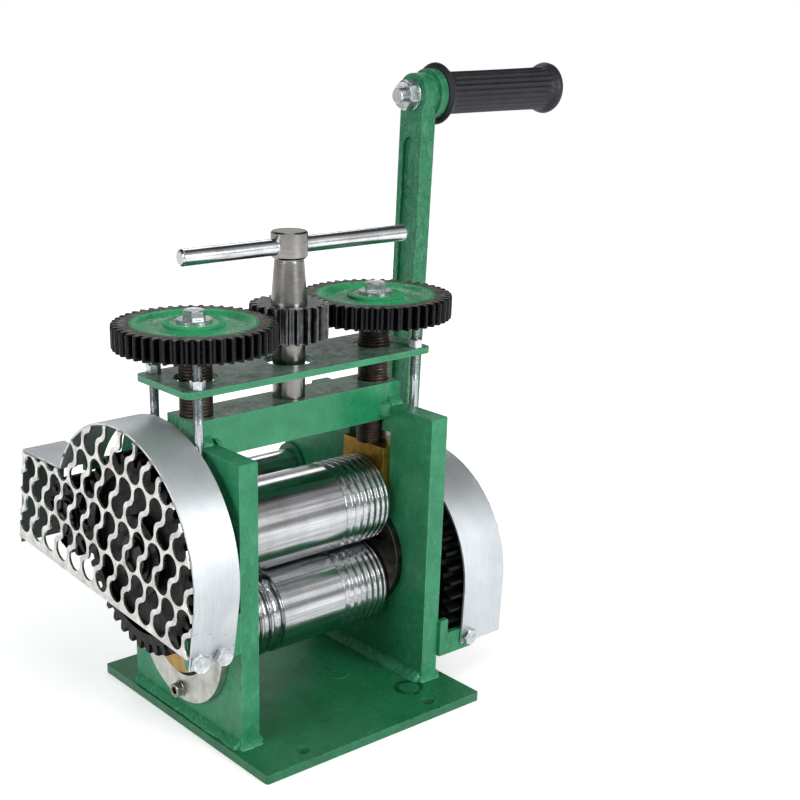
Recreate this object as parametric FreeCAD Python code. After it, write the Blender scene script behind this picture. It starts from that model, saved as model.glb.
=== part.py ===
"""Hand cranked jewellers rolling mill, as separate pieces on their real joints.

Millimetres. +X runs along the rollers towards the crank, +Y to the back, +Z up.
The origin is the centre of the base plate's four bolt holes, at its underside.
Both rollers, the beam and the screws lie in the mill plane, Y = mill_y.
"""
import FreeCAD, Part
import math
import os

V = FreeCAD.Vector
X, Y, Z = V(1, 0, 0), V(0, 1, 0), V(0, 0, 1)
os.makedirs("parts", exist_ok=True)

# ---- driving dimensions -------------------------------------------------------------------------
running = 0.05            # radial clearance of a shaft in its bush
slack = 0.3               # clearance of a plain hole, a slot or a loose face
mill_y = 1.0              # the mill plane, off the base centre

base_margin = 6.7         # of the base beyond each side plate
base_depth = 182.0
base_thickness = 6.0
base_hole_r = 4.5
base_hole_inset_x = 35.0  # from the base's sides to its bolt holes
base_hole_inset_y = 11.0
base_corner_r = 2.0

roller_length = 122.0
roller_r = 28.5
roller_gap = 1.2          # opening between the rollers at rest
lower_z = 62.6            # lower roller axis
journal_r = 14.0
roller_edge = 0.8         # chamfer at the roller's ends
half_round_widths = (2.0, 3.0, 4.0, 5.0, 6.0, 9.0)
square_widths = (5.0, 4.0, 3.5, 3.0, 2.5, 2.0, 1.0)
flat_length = 45.0        # plain middle of the lower roller
gear_seat_r = 12.0
ring_wall = 3.0           # retaining ring, beyond the shaft it sits on
ring_width = 1.4
ring_depth = 0.9
shaft_overrun = 3.0       # shaft end beyond its gear

plate_thickness = 13.0
plate_front = -57.0
plate_back = 61.0         # back edge of a side plate's tall part
plate_rear = 91.0         # back edge of its low part
plate_top = 185.0
plate_rear_top = 152.0
plate_rear_bottom = 55.0
plate_slope_y = 12.0      # run of the slope between the two tops
plate_chamfer = 0.8
bearing_face = 5.0        # thickness of the bearing faces inside the plates
window_width = 40.0       # slot in a side plate that the upper block slides in
window_bottom = 93.0
window_top = 168.0

beam_depth = 28.0
beam_bottom = 175.5
beam_top = 199.0

cheek_gap = 1.5           # under the upper block at its lowest, in the bearing face's slot
block_bottom = 97.5
block_top = 158.0
block_proud = 3.0         # how far the block stands out of the plate's outer side
bush_wall = 3.0
lift_down = 1.0

lower_bush_r = 24.5
lower_bush_proud = 2.2
flange_r = 45.0
flange_thickness = 5.2
flange_bore_r = 27.0
flange_bolt_circle_r = 38.0
flange_bolt_depth = 8.0   # in the plate
inner_face_r = 35.9
inner_face_rise = 19.9    # centre of the bearing faces above the lower roller's axis

gear_module = 3.0         # roller drive
gear_width = 25.0
roller_teeth = 39
pinion_teeth = 15
idler_teeth = 14
gear_gap = 7.7            # from a side plate's outer side to its drive gears
gear_hub_r = 24.0
gear_web_depth = 5.0
gear_rim = 6.0
tooth_slack = 0.35        # backlash, along the pitch circle

shaft_r = 11.0            # crank shaft
shaft_bush_r = 13.3
shaft_bush_flange_r = 14.8
shaft_bush_flange = 2.5
idler_axle_r = 7.0
idler_head_r = 11.0
idler_head = 4.0

screw_r = 10.0
screw_spigot_r = 7.0
screw_nut_r = 12.0
screw_module = 2.0        # adjusting gears on the top
screw_teeth = 46
spindle_teeth = 22
screw_gear_z = 239.4
screw_gear_width = 14.2
screw_web_depth = 4.0
screw_web_r = 35.2
screw_hub_r = 18.0
cap_washer_r = 10.5
cap_washer = 2.0
cap_across = 12.0
cap_head = 5.0
cap_bolt_r = 4.0
cap_bolt_length = 30.0    # from the gear's top down into the screw
spindle_pinion_z = 235.0
spindle_pinion_width = 21.5
spindle_r = 10.0
spindle_root_r = 11.0     # foot of the neck, on the pinion
spindle_neck_r = 9.0      # top of the neck, under the head
spindle_groove = 1.4      # width and depth of the groove under the head
spindle_head_r = 11.1
spindle_head_z = 282.5
spindle_top_z = 298.5
spindle_head_chamfer = 1.4
spindle_foot = 14.0       # depth of the spindle's foot in the beam
tommy_r = 5.0
tommy_length = 160.5
tommy_shift = 5.7         # the bar sits off centre in the head
tommy_z = 289.7
tommy_turn = -3.0         # degrees, about Z
tommy_chamfer = 1.2
spindle_chamfer = 1.0

top_plate_margin = 10.2   # of the top plate beyond its studs
top_plate_depth = 56.0
top_plate_bottom = 217.5
top_plate_thickness = 4.0
top_plate_corner_r = 5.0
screw_clearance = 3.0     # radial, of the top plate's holes round the screws
spindle_clearance = 5.0   # radial, of the top plate's hole round the spindle
stud_r = 2.5
stud_shank_r = 2.8        # below the top plate
stud_spacing_y = 46.0
stud_foot = 152.0
stud_above_nut = 14.0
nut_across = 8.0
nut_height = 4.5
washer_r = 5.2
washer_thickness = 1.0

guard_sheet = 1.5
guard_left_gap = 6.8      # from the plate's outer side to the guard's open edge
guard_right_gap = 17.9
guard_left_depth = 32.0
guard_right_depth = 37.0
guard_left_r = 78.5
guard_right_r = 75.5
guard_left_shift_y = 11.0  # guard centre behind the mill plane
guard_right_shift_y = 12.0
guard_left_shift_z = -1.3  # and above the roller that it covers
guard_right_shift_z = 3.4
guard_left_foot = 70.0    # height of the band's front foot
guard_right_foot = 26.0
guard_left_foot_y = -59.0
guard_right_foot_y = -61.5
guard_rear_foot_left = 86.0
guard_rear_foot_right = 44.0
guard_arc_end_left = 27.0  # degrees above +Y where the round top meets the rear part
guard_arc_end_right = 66.0
guard_rear_y = 131.0      # rear top corner of the left guard
guard_rear_top = 154.0
guard_rear_lean = 16.5    # how far the left guard's rear edge leans out to its foot
guard_pinion_gap = 4.0    # between the right guard and the crank pinion's teeth
guard_shaft_gap = 2.0     # radial, of the right guard's hole round the crank shaft
guard_hole_pitch_y = 16.25
guard_hole_climb = 1.45   # each column of holes is higher than the one in front of it
guard_hole_pitch_z = 28.0
guard_hole_drift = 3.6    # each row of holes is further back than the one above it
guard_hole_start_y = -38.3  # one hole's centre, from the centre of the guard's round top
guard_hole_start_z = 33.9
guard_hole_r = 6.9        # each hole is two round lobes joined by a waist
guard_hole_waist = 3.9    # half width of the waist
guard_lobe_y = -4.9       # from a hole's centre to its upper lobe's
guard_lobe_z = 7.0
guard_face_rise = 5.0     # bottom edge of the left guard's face above its band's feet
guard_hole_margin = 3.0   # from a hole to the outside of the guard
lug_thickness = 4.0
lug_height = 25.5
right_lug_drop = 5.0      # how far the right guard's front lug reaches below the guard's foot
rear_lug_y = 88.0
rear_lug_gap = 1.2        # over the crank pinion's teeth
rear_lug_overlap = 11.0   # under the guard's band
guard_bolt_r = 3.0
guard_bolt_rise = 5.0     # above the guard's foot
guard_bolt_across = 10.0
guard_bolt_head = 4.0
right_lug_reach = 10.8    # of the right guard's front lug beyond the guard's open edge
below_guard = 20.0        # spare height of the guard's form before its foot is cut

crank_radius = 243.0
crank_lean = 1.5          # degrees that the crank leans to the front at rest
arm_gap = 82.7            # from the right plate to the arm
arm_thickness = 12.0
arm_width = 22.0
arm_web = 6.0
arm_border = 4.2
arm_top_r = 14.0
arm_root_r = 21.0
arm_boss_reach = 21.0     # of the boss on the crank shaft, inward of the arm
arm_recess_gap = 27.0     # from an eye's centre to the recess
arm_top_boss = 6.0        # height and radius of the boss on the outer side of the top eye
arm_top_boss_r = 16.5
pin_r = 5.0
pin_end = 5.0
grip_length = 114.0
grip_r = 14.5
grip_bore_r = 5.2
grip_flange_r = 20.5
grip_end_r = 17.5
grip_flange = 4.0
grip_end_wall = 6.0       # rubber beyond the pin's head
grip_gap = 0.4
arm_nut_across = 17.0
arm_nut_height = 9.0
pin_head_r = 8.0
pin_head = 4.0
cross_pin_r = 2.5         # pin through the arm's boss and the crank shaft
cross_pin_inset = 12.0    # inward of the arm

spring_r = 3.6
spring_wire_r = 0.6
spring_turns = 5
spring_pocket_r = 4.6
spring_pocket_depth = 6.0
spring_offset_y = 14.0

weld_leg = 6.0

# ---- places worked out from them ----------------------------------------------------------------
upper_z = lower_z + 2 * roller_r + roller_gap
inner_x = roller_length / 2 + bearing_face + slack          # inner side of a side plate
outer_x = inner_x + plate_thickness
base_width = 2 * (outer_x + base_margin)
base_hole_x = base_width / 2 - base_hole_inset_x
base_hole_y = base_depth / 2 - base_hole_inset_y
crank_distance = gear_module * (roller_teeth + pinion_teeth) / 2
crank_y = mill_y + crank_distance
crank_z = upper_z
left_gear_x = -(outer_x + gear_gap + gear_width)            # lowest X of the left drive gears
right_gear_x = outer_x + gear_gap
gear_tip_r = gear_module * (roller_teeth + 2) / 2
pinion_tip_r = gear_module * (pinion_teeth + 2) / 2
screw_x = screw_module * (screw_teeth + spindle_teeth) / 2
top_plate_top = top_plate_bottom + top_plate_thickness
stud_x = outer_x + stud_shank_r
top_plate_half = stud_x + top_plate_margin
right_lug_end = outer_x + guard_right_gap + right_lug_reach
arm_x = outer_x + arm_gap
arm_boss_x = arm_x - arm_boss_reach
cross_pin_x = arm_x - cross_pin_inset
arm_outer_x = arm_x + arm_thickness
grip_x = arm_outer_x + arm_top_boss + grip_gap

# The idler meshes with the right crank pinion and with the lower roller's gear, below the crank.
idler_reach = gear_module * (pinion_teeth + idler_teeth) / 2
roller_reach = gear_module * (roller_teeth + idler_teeth) / 2
crank_to_lower = math.hypot(crank_y - mill_y, crank_z - lower_z)
idler_corner = math.acos((idler_reach ** 2 + crank_to_lower ** 2 - roller_reach ** 2)
                         / (2 * idler_reach * crank_to_lower))
idler_direction = math.atan2(lower_z - crank_z, mill_y - crank_y) + idler_corner
idler_y = crank_y + idler_reach * math.cos(idler_direction)
idler_z = crank_z + idler_reach * math.sin(idler_direction)

nodes = {}


# ---- small helpers ------------------------------------------------------------------------------
def rod(axis, radius, start, length):
    """Cylinder along an axis from a start point."""
    return Part.makeCylinder(radius, length, start, axis)


def tube(axis, radius, bore, start, length):
    return rod(axis, radius, start, length).cut(rod(axis, bore, start, length))


def block(x0, x1, y0, y1, z0, z1):
    return Part.makeBox(x1 - x0, y1 - y0, z1 - z0, V(x0, y0, z0))


def side(sign, x0, x1, y0, y1, z0, z1):
    """Box between two distances from the middle, on the left (-1) or right (+1)."""
    low, high = sorted((sign * x0, sign * x1))
    return block(low, high, y0, y1, z0, z1)


def span(sign, radius, y, z, x0, x1):
    """Cylinder along X between two distances from the middle, on one side."""
    low, high = sorted((sign * x0, sign * x1))
    return rod(X, radius, V(low, y, z), high - low)


def hexagon(axis, across, centre, length):
    """Hexagonal prism with the given size across flats."""
    radius = across / math.sqrt(3)
    points = [V(radius * math.cos(a), radius * math.sin(a), 0)
              for a in (math.radians(60 * i) for i in range(7))]
    prism = Part.Face(Part.makePolygon(points)).extrude(V(0, 0, length))
    prism.Placement = FreeCAD.Placement(centre, FreeCAD.Rotation(Z, axis))
    return prism


def rim_at(shape, z):
    """Edges that lie level at a height."""
    return [e for e in shape.Edges if abs(e.BoundBox.ZMin - z) + abs(e.BoundBox.ZMax - z) < 1e-3]


def save(name, shape):
    nodes[name] = shape


# ---- gears --------------------------------------------------------------------------------------
def involute_flank(base, radius):
    """Polar angle of an involute point at a radius."""
    if radius <= base:
        return 0.0
    pressure = math.acos(base / radius)
    return math.tan(pressure) - pressure


def tooth_outline(module, teeth, angle):
    """Closed polygon of a spur gear with one tooth centred on an angle (radians)."""
    pressure = math.radians(20)
    pitch = module * teeth / 2
    base = pitch * math.cos(pressure)
    tip, root = pitch + module, pitch - 1.25 * module
    half = (math.pi * module / 2 - tooth_slack) / 2 / pitch + involute_flank(base, pitch)
    start = max(base, root)
    radii = [root] + [start + (tip - start) * k / 4 for k in range(5)]
    points = []
    for i in range(teeth):
        centre = angle + 2 * math.pi * i / teeth
        for r in radii:
            a = centre - half + involute_flank(base, r)
            points.append(V(r * math.cos(a), r * math.sin(a), 0))
        for r in reversed(radii):
            a = centre + half - involute_flank(base, r)
            points.append(V(r * math.cos(a), r * math.sin(a), 0))
    clean = [points[0]]
    for p in points[1:]:
        if (p - clean[-1]).Length > 1e-4:
            clean.append(p)
    return clean + [clean[0]]


def gear(module, teeth, angle, width, bore):
    """Spur gear on the Z axis from Z = 0, bored through."""
    blank = Part.Face(Part.makePolygon(tooth_outline(module, teeth, angle))).extrude(V(0, 0, width))
    tip = module * (teeth + 2) / 2
    bevel = module * 0.35
    cone_low = Part.makeCone(tip - bevel, tip + width - bevel, width, V(0, 0, 0), Z)
    cone_high = Part.makeCone(tip + width - bevel, tip - bevel, width, V(0, 0, 0), Z)
    blank = blank.common(cone_low).common(cone_high)
    return blank.cut(rod(Z, bore, V(0, 0, -1), width + 2))


def lay_along_x(shape, x, y, z):
    """Turn a piece made on Z so that its Z runs along X and its X along Y."""
    placed = shape.copy()
    placed.rotate(V(0, 0, 0), V(1, 1, 1), 120)
    placed.translate(V(x, y, z))
    return placed


def mesh_angle(angle, teeth, direction, other_teeth):
    """Tooth angle of a gear that meshes with another, which lies in a direction from it."""
    offset = (direction - angle) * teeth / (2 * math.pi)
    return direction + math.pi - (0.5 - offset) * 2 * math.pi / other_teeth


def webbed(blank, width, web_depth, web_r, hub_r):
    """Sink the web between rim and hub on both faces."""
    for z in (-1, width - web_depth):
        blank = blank.cut(tube(Z, web_r, hub_r, V(0, 0, z), web_depth + 1))
    return blank


def outline_face(points):
    """Flat face in the YZ plane from (y, z) points."""
    wire = [V(0, y, z) for y, z in points]
    return Part.Face(Part.makePolygon(wire + wire[:1]))


def ring_groove(sign, y, z, seat_r, x):
    return span(sign, seat_r + 1, y, z, x, x + ring_width).cut(
        span(sign, seat_r - ring_depth, y, z, x, x + ring_width))


def retaining_ring(sign, y, z, seat_r, x):
    """Ring in a shaft's groove, just outside the gear that it holds."""
    return span(sign, seat_r + ring_wall, y, z, x, x + ring_width).cut(
        span(sign, seat_r - ring_depth, y, z, x, x + ring_width))


# ---- frame --------------------------------------------------------------------------------------
def base_plate():
    plate = block(-base_width / 2, base_width / 2, -base_depth / 2, base_depth / 2, 0, base_thickness)
    upright = [e for e in plate.Edges if abs(e.Vertexes[0].Z - e.Vertexes[-1].Z) > 1]
    plate = plate.makeFillet(base_corner_r, upright)
    for x in (-base_hole_x, base_hole_x):
        for y in (-base_hole_y, base_hole_y):
            plate = plate.cut(rod(Z, base_hole_r, V(x, y, -1), base_thickness + 2))
    return plate


def side_plate(sign):
    c = plate_chamfer
    outline = [(plate_front, base_thickness), (plate_front, plate_top - c), (plate_front + c, plate_top),
               (plate_back, plate_top), (plate_back + plate_slope_y, plate_rear_top),
               (plate_rear, plate_rear_top), (plate_rear, plate_rear_bottom),
               (plate_back, plate_rear_bottom), (plate_back, base_thickness)]
    plate = outline_face(outline).extrude(V(plate_thickness, 0, 0))
    plate.translate(V(inner_x if sign > 0 else -outer_x, 0, 0))
    half = window_width / 2
    over = (inner_x - 1, outer_x + 1)
    plate = plate.cut(side(sign, *over, mill_y - half, mill_y + half, window_bottom, window_top))
    plate = plate.cut(side(sign, *over, mill_y - beam_depth / 2, mill_y + beam_depth / 2,
                           beam_bottom, plate_top + 1))
    plate = plate.cut(rod(Z, screw_nut_r, V(sign * screw_x, mill_y, window_top - 1),
                          beam_bottom - window_top + 2))
    plate = plate.cut(span(sign, lower_bush_r, mill_y, lower_z, *over))
    plate = plate.cut(span(sign, shaft_bush_r, crank_y, crank_z, *over))
    if sign > 0:
        return plate.cut(span(sign, idler_axle_r, idler_y, idler_z, *over))
    for y, z in flange_bolt_places():
        plate = plate.cut(flange_bolt_shank(y, z))
    return plate


def top_beam():
    beam = block(-outer_x, outer_x, mill_y - beam_depth / 2, mill_y + beam_depth / 2, beam_bottom, beam_top)
    for sign in (-1, 1):
        beam = beam.cut(rod(Z, screw_nut_r, V(sign * screw_x, mill_y, beam_bottom - 1),
                            beam_top - beam_bottom + 2))
    foot = V(0, mill_y, beam_top - spindle_foot)
    return beam.cut(rod(Z, spindle_r + running, foot, spindle_foot + 1))


def screw_nut(sign):
    return tube(Z, screw_nut_r, screw_r + running, V(sign * screw_x, mill_y, beam_bottom),
                beam_top - beam_bottom)


def bead(corner, leg_a, leg_b, run):
    """Fillet weld: a triangle with its square corner in the joint, drawn along it."""
    face = Part.Face(Part.makePolygon([corner, corner + leg_a, corner + leg_b, corner]))
    return face.extrude(run)


def weld_beads():
    beads = []
    run = V(0, plate_back - plate_front, 0)
    across = V(plate_thickness, 0, 0)
    for sign in (-1, 1):
        corner = V(sign * inner_x, plate_front, base_thickness)
        beads.append(bead(corner, V(-sign * weld_leg, 0, 0), V(0, 0, weld_leg), run))
        for out in (-1, 1):
            corner = V(min(sign * inner_x, sign * outer_x), mill_y + out * beam_depth / 2, plate_top)
            beads.append(bead(corner, V(0, out * weld_leg, 0), V(0, 0, weld_leg), across))
    return Part.makeCompound(beads)


def top_plate():
    half_y = top_plate_depth / 2
    plate = block(-top_plate_half, top_plate_half, mill_y - half_y, mill_y + half_y,
                  top_plate_bottom, top_plate_top)
    upright = [e for e in plate.Edges if abs(e.Vertexes[0].Z - e.Vertexes[-1].Z) > 1]
    plate = plate.makeFillet(top_plate_corner_r, upright)
    holes = [(0, mill_y, spindle_r + spindle_clearance)]
    holes += [(sign * screw_x, mill_y, screw_r + screw_clearance) for sign in (-1, 1)]
    holes += [(x, y, stud_r + slack / 2) for x, y in stud_places()]
    for x, y, radius in holes:
        plate = plate.cut(rod(Z, radius, V(x, y, top_plate_bottom - 1), top_plate_thickness + 2))
    return plate


def stud_places():
    return [(sx * stud_x, mill_y + sy * stud_spacing_y / 2) for sx in (-1, 1) for sy in (-1, 1)]


def frame_studs():
    nut_top = top_plate_top + washer_thickness + nut_height
    studs = []
    for x, y in stud_places():
        shank = rod(Z, stud_shank_r, V(x, y, stud_foot), top_plate_bottom - stud_foot)
        thread = rod(Z, stud_r, V(x, y, top_plate_bottom), nut_top + stud_above_nut - top_plate_bottom)
        studs.append(shank.fuse(thread))
    return Part.makeCompound(studs)


def stud_nuts():
    nuts = []
    for x, y in stud_places():
        washer = tube(Z, washer_r, stud_r, V(x, y, top_plate_top), washer_thickness)
        nut = hexagon(Z, nut_across, V(x, y, top_plate_top + washer_thickness), nut_height)
        nuts += [washer, nut.cut(rod(Z, stud_r, V(x, y, top_plate_top), nut_height + 3))]
    return Part.makeCompound(nuts)


# ---- lower roller bearings, crank shaft bushes --------------------------------------------------
def lower_bush(sign):
    proud = lower_bush_proud + (flange_thickness if sign < 0 else 0)
    outer = span(sign, lower_bush_r, mill_y, lower_z, inner_x, outer_x + proud)
    return outer.cut(span(sign, journal_r + running, mill_y, lower_z, inner_x - 1, outer_x + proud + 1))


def bearing_face_disc(sign):
    """Thrust face between a plate and the rollers' ends, slotted for the upper block."""
    start, end = roller_length / 2 + slack, inner_x
    centre_z = lower_z + inner_face_rise
    half = window_width / 2
    slot = side(sign, start - 1, end + 1, mill_y - half, mill_y + half,
                block_bottom - lift_down - cheek_gap, centre_z + inner_face_r + 1)
    disc = span(sign, inner_face_r, mill_y, centre_z, start, end).cut(slot)
    return disc.cut(span(sign, journal_r + slack, mill_y, lower_z, start - 1, end + 1))


def flange_bolt_places():
    places = []
    for degrees in (-90, -28):
        a = math.radians(degrees)
        places.append((mill_y + flange_bolt_circle_r * math.cos(a),
                       lower_z + flange_bolt_circle_r * math.sin(a)))
    return places


def flange_bolt_shank(y, z):
    length = flange_thickness + flange_bolt_depth
    return rod(X, guard_bolt_r, V(-(outer_x + flange_thickness), y, z), length)


def bearing_flange():
    """Ring on the left plate's outer side, round the lower bush."""
    ring = span(-1, flange_r, mill_y, lower_z, outer_x, outer_x + flange_thickness)
    ring = ring.cut(span(-1, flange_bore_r, mill_y, lower_z, outer_x - 1, outer_x + flange_thickness + 1))
    for y, z in flange_bolt_places():
        ring = ring.cut(flange_bolt_shank(y, z))
    half = window_width / 2 + slack
    return ring.cut(side(-1, outer_x - 1, outer_x + flange_thickness + 1, mill_y - half, mill_y + half,
                         block_bottom - lift_down - slack, lower_z + flange_r + 1))


def flange_bolts():
    heads = []
    x = -(outer_x + flange_thickness + washer_thickness)
    for y, z in flange_bolt_places():
        washer = rod(X, washer_r, V(x, y, z), washer_thickness)
        head = hexagon(X, guard_bolt_across, V(x - guard_bolt_head, y, z), guard_bolt_head)
        heads.append(washer.fuse([head, flange_bolt_shank(y, z)]))
    return Part.makeCompound(heads)


def shaft_bush(sign):
    """Bronze bush with a flange on the plate's inner side."""
    body = span(sign, shaft_bush_r, crank_y, crank_z, inner_x, outer_x)
    flange = span(sign, shaft_bush_flange_r, crank_y, crank_z, inner_x - shaft_bush_flange, inner_x)
    bore = span(sign, shaft_r + running, crank_y, crank_z, inner_x - shaft_bush_flange - 1, outer_x + 1)
    return body.fuse(flange).cut(bore)


# ---- upper roller bearings ----------------------------------------------------------------------
def upper_block(sign):
    liner_r = journal_r + running + bush_wall
    start, end = roller_length / 2 + slack / 2, outer_x + block_proud
    half = window_width / 2 - slack
    solid = side(sign, start, end, mill_y - half, mill_y + half, block_bottom, block_top)
    solid = solid.cut(span(sign, liner_r + running, mill_y, upper_z, start - 1, end + 1))
    for y in (mill_y - spring_offset_y, mill_y + spring_offset_y):
        pocket = V(sign * (inner_x + outer_x) / 2, y, block_bottom - 1)
        solid = solid.cut(rod(Z, spring_pocket_r, pocket, spring_pocket_depth + 1))
    return solid


def upper_liner(sign):
    """Floating bush between the upper journal and its block."""
    liner_r = journal_r + running + bush_wall
    start, end = roller_length / 2 + slack, outer_x + block_proud
    return span(sign, liner_r, mill_y, upper_z, start, end).cut(
        span(sign, journal_r + running, mill_y, upper_z, start - 1, end + 1))


def lift_springs():
    """Coils that hold the upper blocks against the screws."""
    coils = []
    height = block_bottom + spring_pocket_depth - window_bottom
    pitch = (height - 2 * spring_wire_r) / spring_turns
    for sign in (-1, 1):
        for offset in (-spring_offset_y, spring_offset_y):
            helix = Part.makeHelix(pitch, pitch * spring_turns, spring_r - spring_wire_r)
            section = Part.Wire(Part.makeCircle(spring_wire_r, V(spring_r - spring_wire_r, 0, 0), Y))
            coil = Part.Wire(helix).makePipeShell([section], True, True)
            coil.translate(V(sign * (inner_x + outer_x) / 2, mill_y + offset, window_bottom + spring_wire_r))
            coils.append(coil)
    return Part.makeCompound(coils)


# ---- rollers ------------------------------------------------------------------------------------
def groove_places(widths):
    """Centre of each groove from the edge of the plain middle outwards, widest first."""
    zone = (roller_length - flat_length) / 2
    land = (zone - sum(widths)) / (len(widths) + 1)
    x, places = flat_length / 2, []
    for width in sorted(widths, reverse=True):
        x += land
        places.append((x + width / 2, width))
        x += width
    return places


def square_groove(x, width, z):
    """Tool for a 90 degree groove round a roller."""
    rise = 1.0
    face = Part.Face(Part.makePolygon([
        V(x - width / 2 - rise, mill_y, z + roller_r + rise), V(x, mill_y, z + roller_r - width / 2),
        V(x + width / 2 + rise, mill_y, z + roller_r + rise),
        V(x - width / 2 - rise, mill_y, z + roller_r + rise)]))
    return face.revolve(V(0, mill_y, z), X, 360)


def half_round_groove(x, width, z):
    return Part.makeTorus(roller_r, width / 2, V(x, mill_y, z), X)


def roller(z, left_end, right_end, left_seat, right_seat, half_rounds):
    """Roller with its journals; a seat is where a journal steps down to a gear's bore."""
    solid = rod(X, roller_r, V(-roller_length / 2, mill_y, z), roller_length)
    ends = [e for e in solid.Edges if isinstance(e.Curve, Part.Circle)]
    solid = solid.makeChamfer(roller_edge, ends)
    for x, width in groove_places(square_widths):
        solid = solid.cut(square_groove(x, width, z))
    for x, width in (groove_places(half_round_widths) if half_rounds else []):
        solid = solid.cut(half_round_groove(-x, width, z))
    solid = solid.fuse(rod(X, journal_r, V(left_seat, mill_y, z), right_seat - left_seat))
    if left_end < left_seat:
        solid = solid.fuse(rod(X, gear_seat_r, V(left_end, mill_y, z), left_seat - left_end))
    if right_end > right_seat:
        solid = solid.fuse(rod(X, gear_seat_r, V(right_seat, mill_y, z), right_end - right_seat))
    return solid


def lower_roller():
    left = -(outer_x + flange_thickness + lower_bush_proud)
    right = right_gear_x + gear_width + shaft_overrun
    solid = roller(lower_z, left, right, left, right_gear_x, True)
    return solid.cut(ring_groove(1, mill_y, lower_z, gear_seat_r, right_gear_x + gear_width))


def upper_roller():
    left, right = left_gear_x - shaft_overrun, outer_x + block_proud
    solid = roller(upper_z, left, right, left_gear_x + gear_width, right, False)
    return solid.cut(ring_groove(-1, mill_y, upper_z, gear_seat_r, -left_gear_x))


def drive_gear(teeth, angle, bore, x, y, z, with_web):
    solid = gear(gear_module, teeth, angle, gear_width, bore)
    if with_web:
        web_r = gear_module * (teeth - 2.5) / 2 - gear_rim
        solid = webbed(solid, gear_width, gear_web_depth, web_r, gear_hub_r)
    return lay_along_x(solid, x, y, z)


# ---- crank --------------------------------------------------------------------------------------
def lean(shape):
    """Turn a piece of the crank about the crank shaft to the rest position."""
    turned = shape.copy()
    turned.rotate(V(0, crank_y, crank_z), X, crank_lean)
    return turned


def crank_shaft():
    start = left_gear_x - shaft_overrun
    shaft = rod(X, shaft_r, V(start, crank_y, crank_z), arm_outer_x - start)
    shaft = shaft.cut(ring_groove(-1, crank_y, crank_z, shaft_r, -left_gear_x))
    shaft = shaft.cut(ring_groove(1, crank_y, crank_z, shaft_r, right_gear_x + gear_width))
    return lean(shaft.cut(cross_pin_rod()))


def cross_pin_rod():
    return rod(Z, cross_pin_r, V(cross_pin_x, crank_y, crank_z - arm_root_r), 2 * arm_root_r)


def arm_recess(x):
    """Sunk panel with round ends on one side of the arm."""
    depth = (arm_thickness - arm_web) / 2
    half = arm_width / 2 - arm_border
    low, high = crank_z + arm_recess_gap + half, crank_z + crank_radius - arm_recess_gap - half
    panel = block(x, x + depth, crank_y - half, crank_y + half, low, high)
    for z in (low, high):
        panel = panel.fuse(rod(X, half, V(x, crank_y, z), depth))
    return panel


def crank_arm():
    pin_z = crank_z + crank_radius
    half = arm_width / 2
    bar = block(arm_x, arm_outer_x, crank_y - half, crank_y + half, crank_z, pin_z)
    eye = rod(X, arm_top_r, V(arm_x, crank_y, pin_z), arm_thickness)
    boss = rod(X, arm_top_boss_r, V(arm_outer_x, crank_y, pin_z), arm_top_boss)
    root = rod(X, arm_root_r, V(arm_boss_x, crank_y, crank_z), arm_outer_x - arm_boss_x)
    solid = bar.fuse([eye, boss, root])
    depth = (arm_thickness - arm_web) / 2
    for x in (arm_x, arm_outer_x - depth):
        solid = solid.cut(arm_recess(x))
    solid = solid.cut(rod(X, shaft_r, V(arm_boss_x - 1, crank_y, crank_z), arm_outer_x))
    solid = solid.cut(cross_pin_rod())
    solid = solid.cut(rod(X, pin_r, V(arm_x - 1, crank_y, pin_z), arm_thickness + arm_top_boss + 2))
    return lean(solid.removeSplitter())


def handle_pin():
    pin_z = crank_z + crank_radius
    start = arm_x - arm_nut_height - pin_end
    end = grip_x + grip_length - grip_end_wall - grip_gap
    pin = rod(X, pin_r, V(start, crank_y, pin_z), end - start)
    pin = pin.fuse(rod(X, pin_head_r, V(end - pin_head, crank_y, pin_z), pin_head))
    return lean(pin)


def handle_nut():
    pin_z = crank_z + crank_radius
    nut = hexagon(X, arm_nut_across, V(arm_x - arm_nut_height, crank_y, pin_z), arm_nut_height)
    return lean(nut.cut(rod(X, pin_r, V(arm_x - arm_nut_height - 1, crank_y, pin_z), arm_nut_height + 2)))


def handle_grip():
    pin_z = crank_z + crank_radius
    body = rod(X, grip_r, V(grip_x, crank_y, pin_z), grip_length)
    inner = rod(X, grip_flange_r, V(grip_x, crank_y, pin_z), grip_flange)
    outer = rod(X, grip_end_r, V(grip_x + grip_length - grip_flange, crank_y, pin_z), grip_flange)
    solid = body.fuse([inner, outer])
    seat = grip_length - grip_end_wall
    pocket = pin_head + 2 * grip_gap
    solid = solid.cut(rod(X, grip_bore_r, V(grip_x - 1, crank_y, pin_z), seat + 1))
    return lean(solid.cut(rod(X, pin_head_r + grip_gap, V(grip_x + seat - pocket, crank_y, pin_z), pocket)))


# ---- screws and spindle -------------------------------------------------------------------------
def pressure_screw(sign):
    screw = rod(Z, screw_r, V(sign * screw_x, mill_y, block_top), screw_gear_z - block_top)
    spigot = rod(Z, screw_spigot_r, V(sign * screw_x, mill_y, screw_gear_z), screw_gear_width)
    return screw.fuse(spigot).cut(cap_bolt(sign))


def cap_bolt(sign):
    start = screw_gear_z + screw_gear_width - cap_bolt_length
    return rod(Z, cap_bolt_r, V(sign * screw_x, mill_y, start), cap_bolt_length)


def screw_gear(sign, angle):
    solid = gear(screw_module, screw_teeth, angle, screw_gear_width, screw_spigot_r)
    solid = webbed(solid, screw_gear_width, screw_web_depth, screw_web_r, screw_hub_r)
    solid.translate(V(sign * screw_x, mill_y, screw_gear_z))
    return solid


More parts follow.
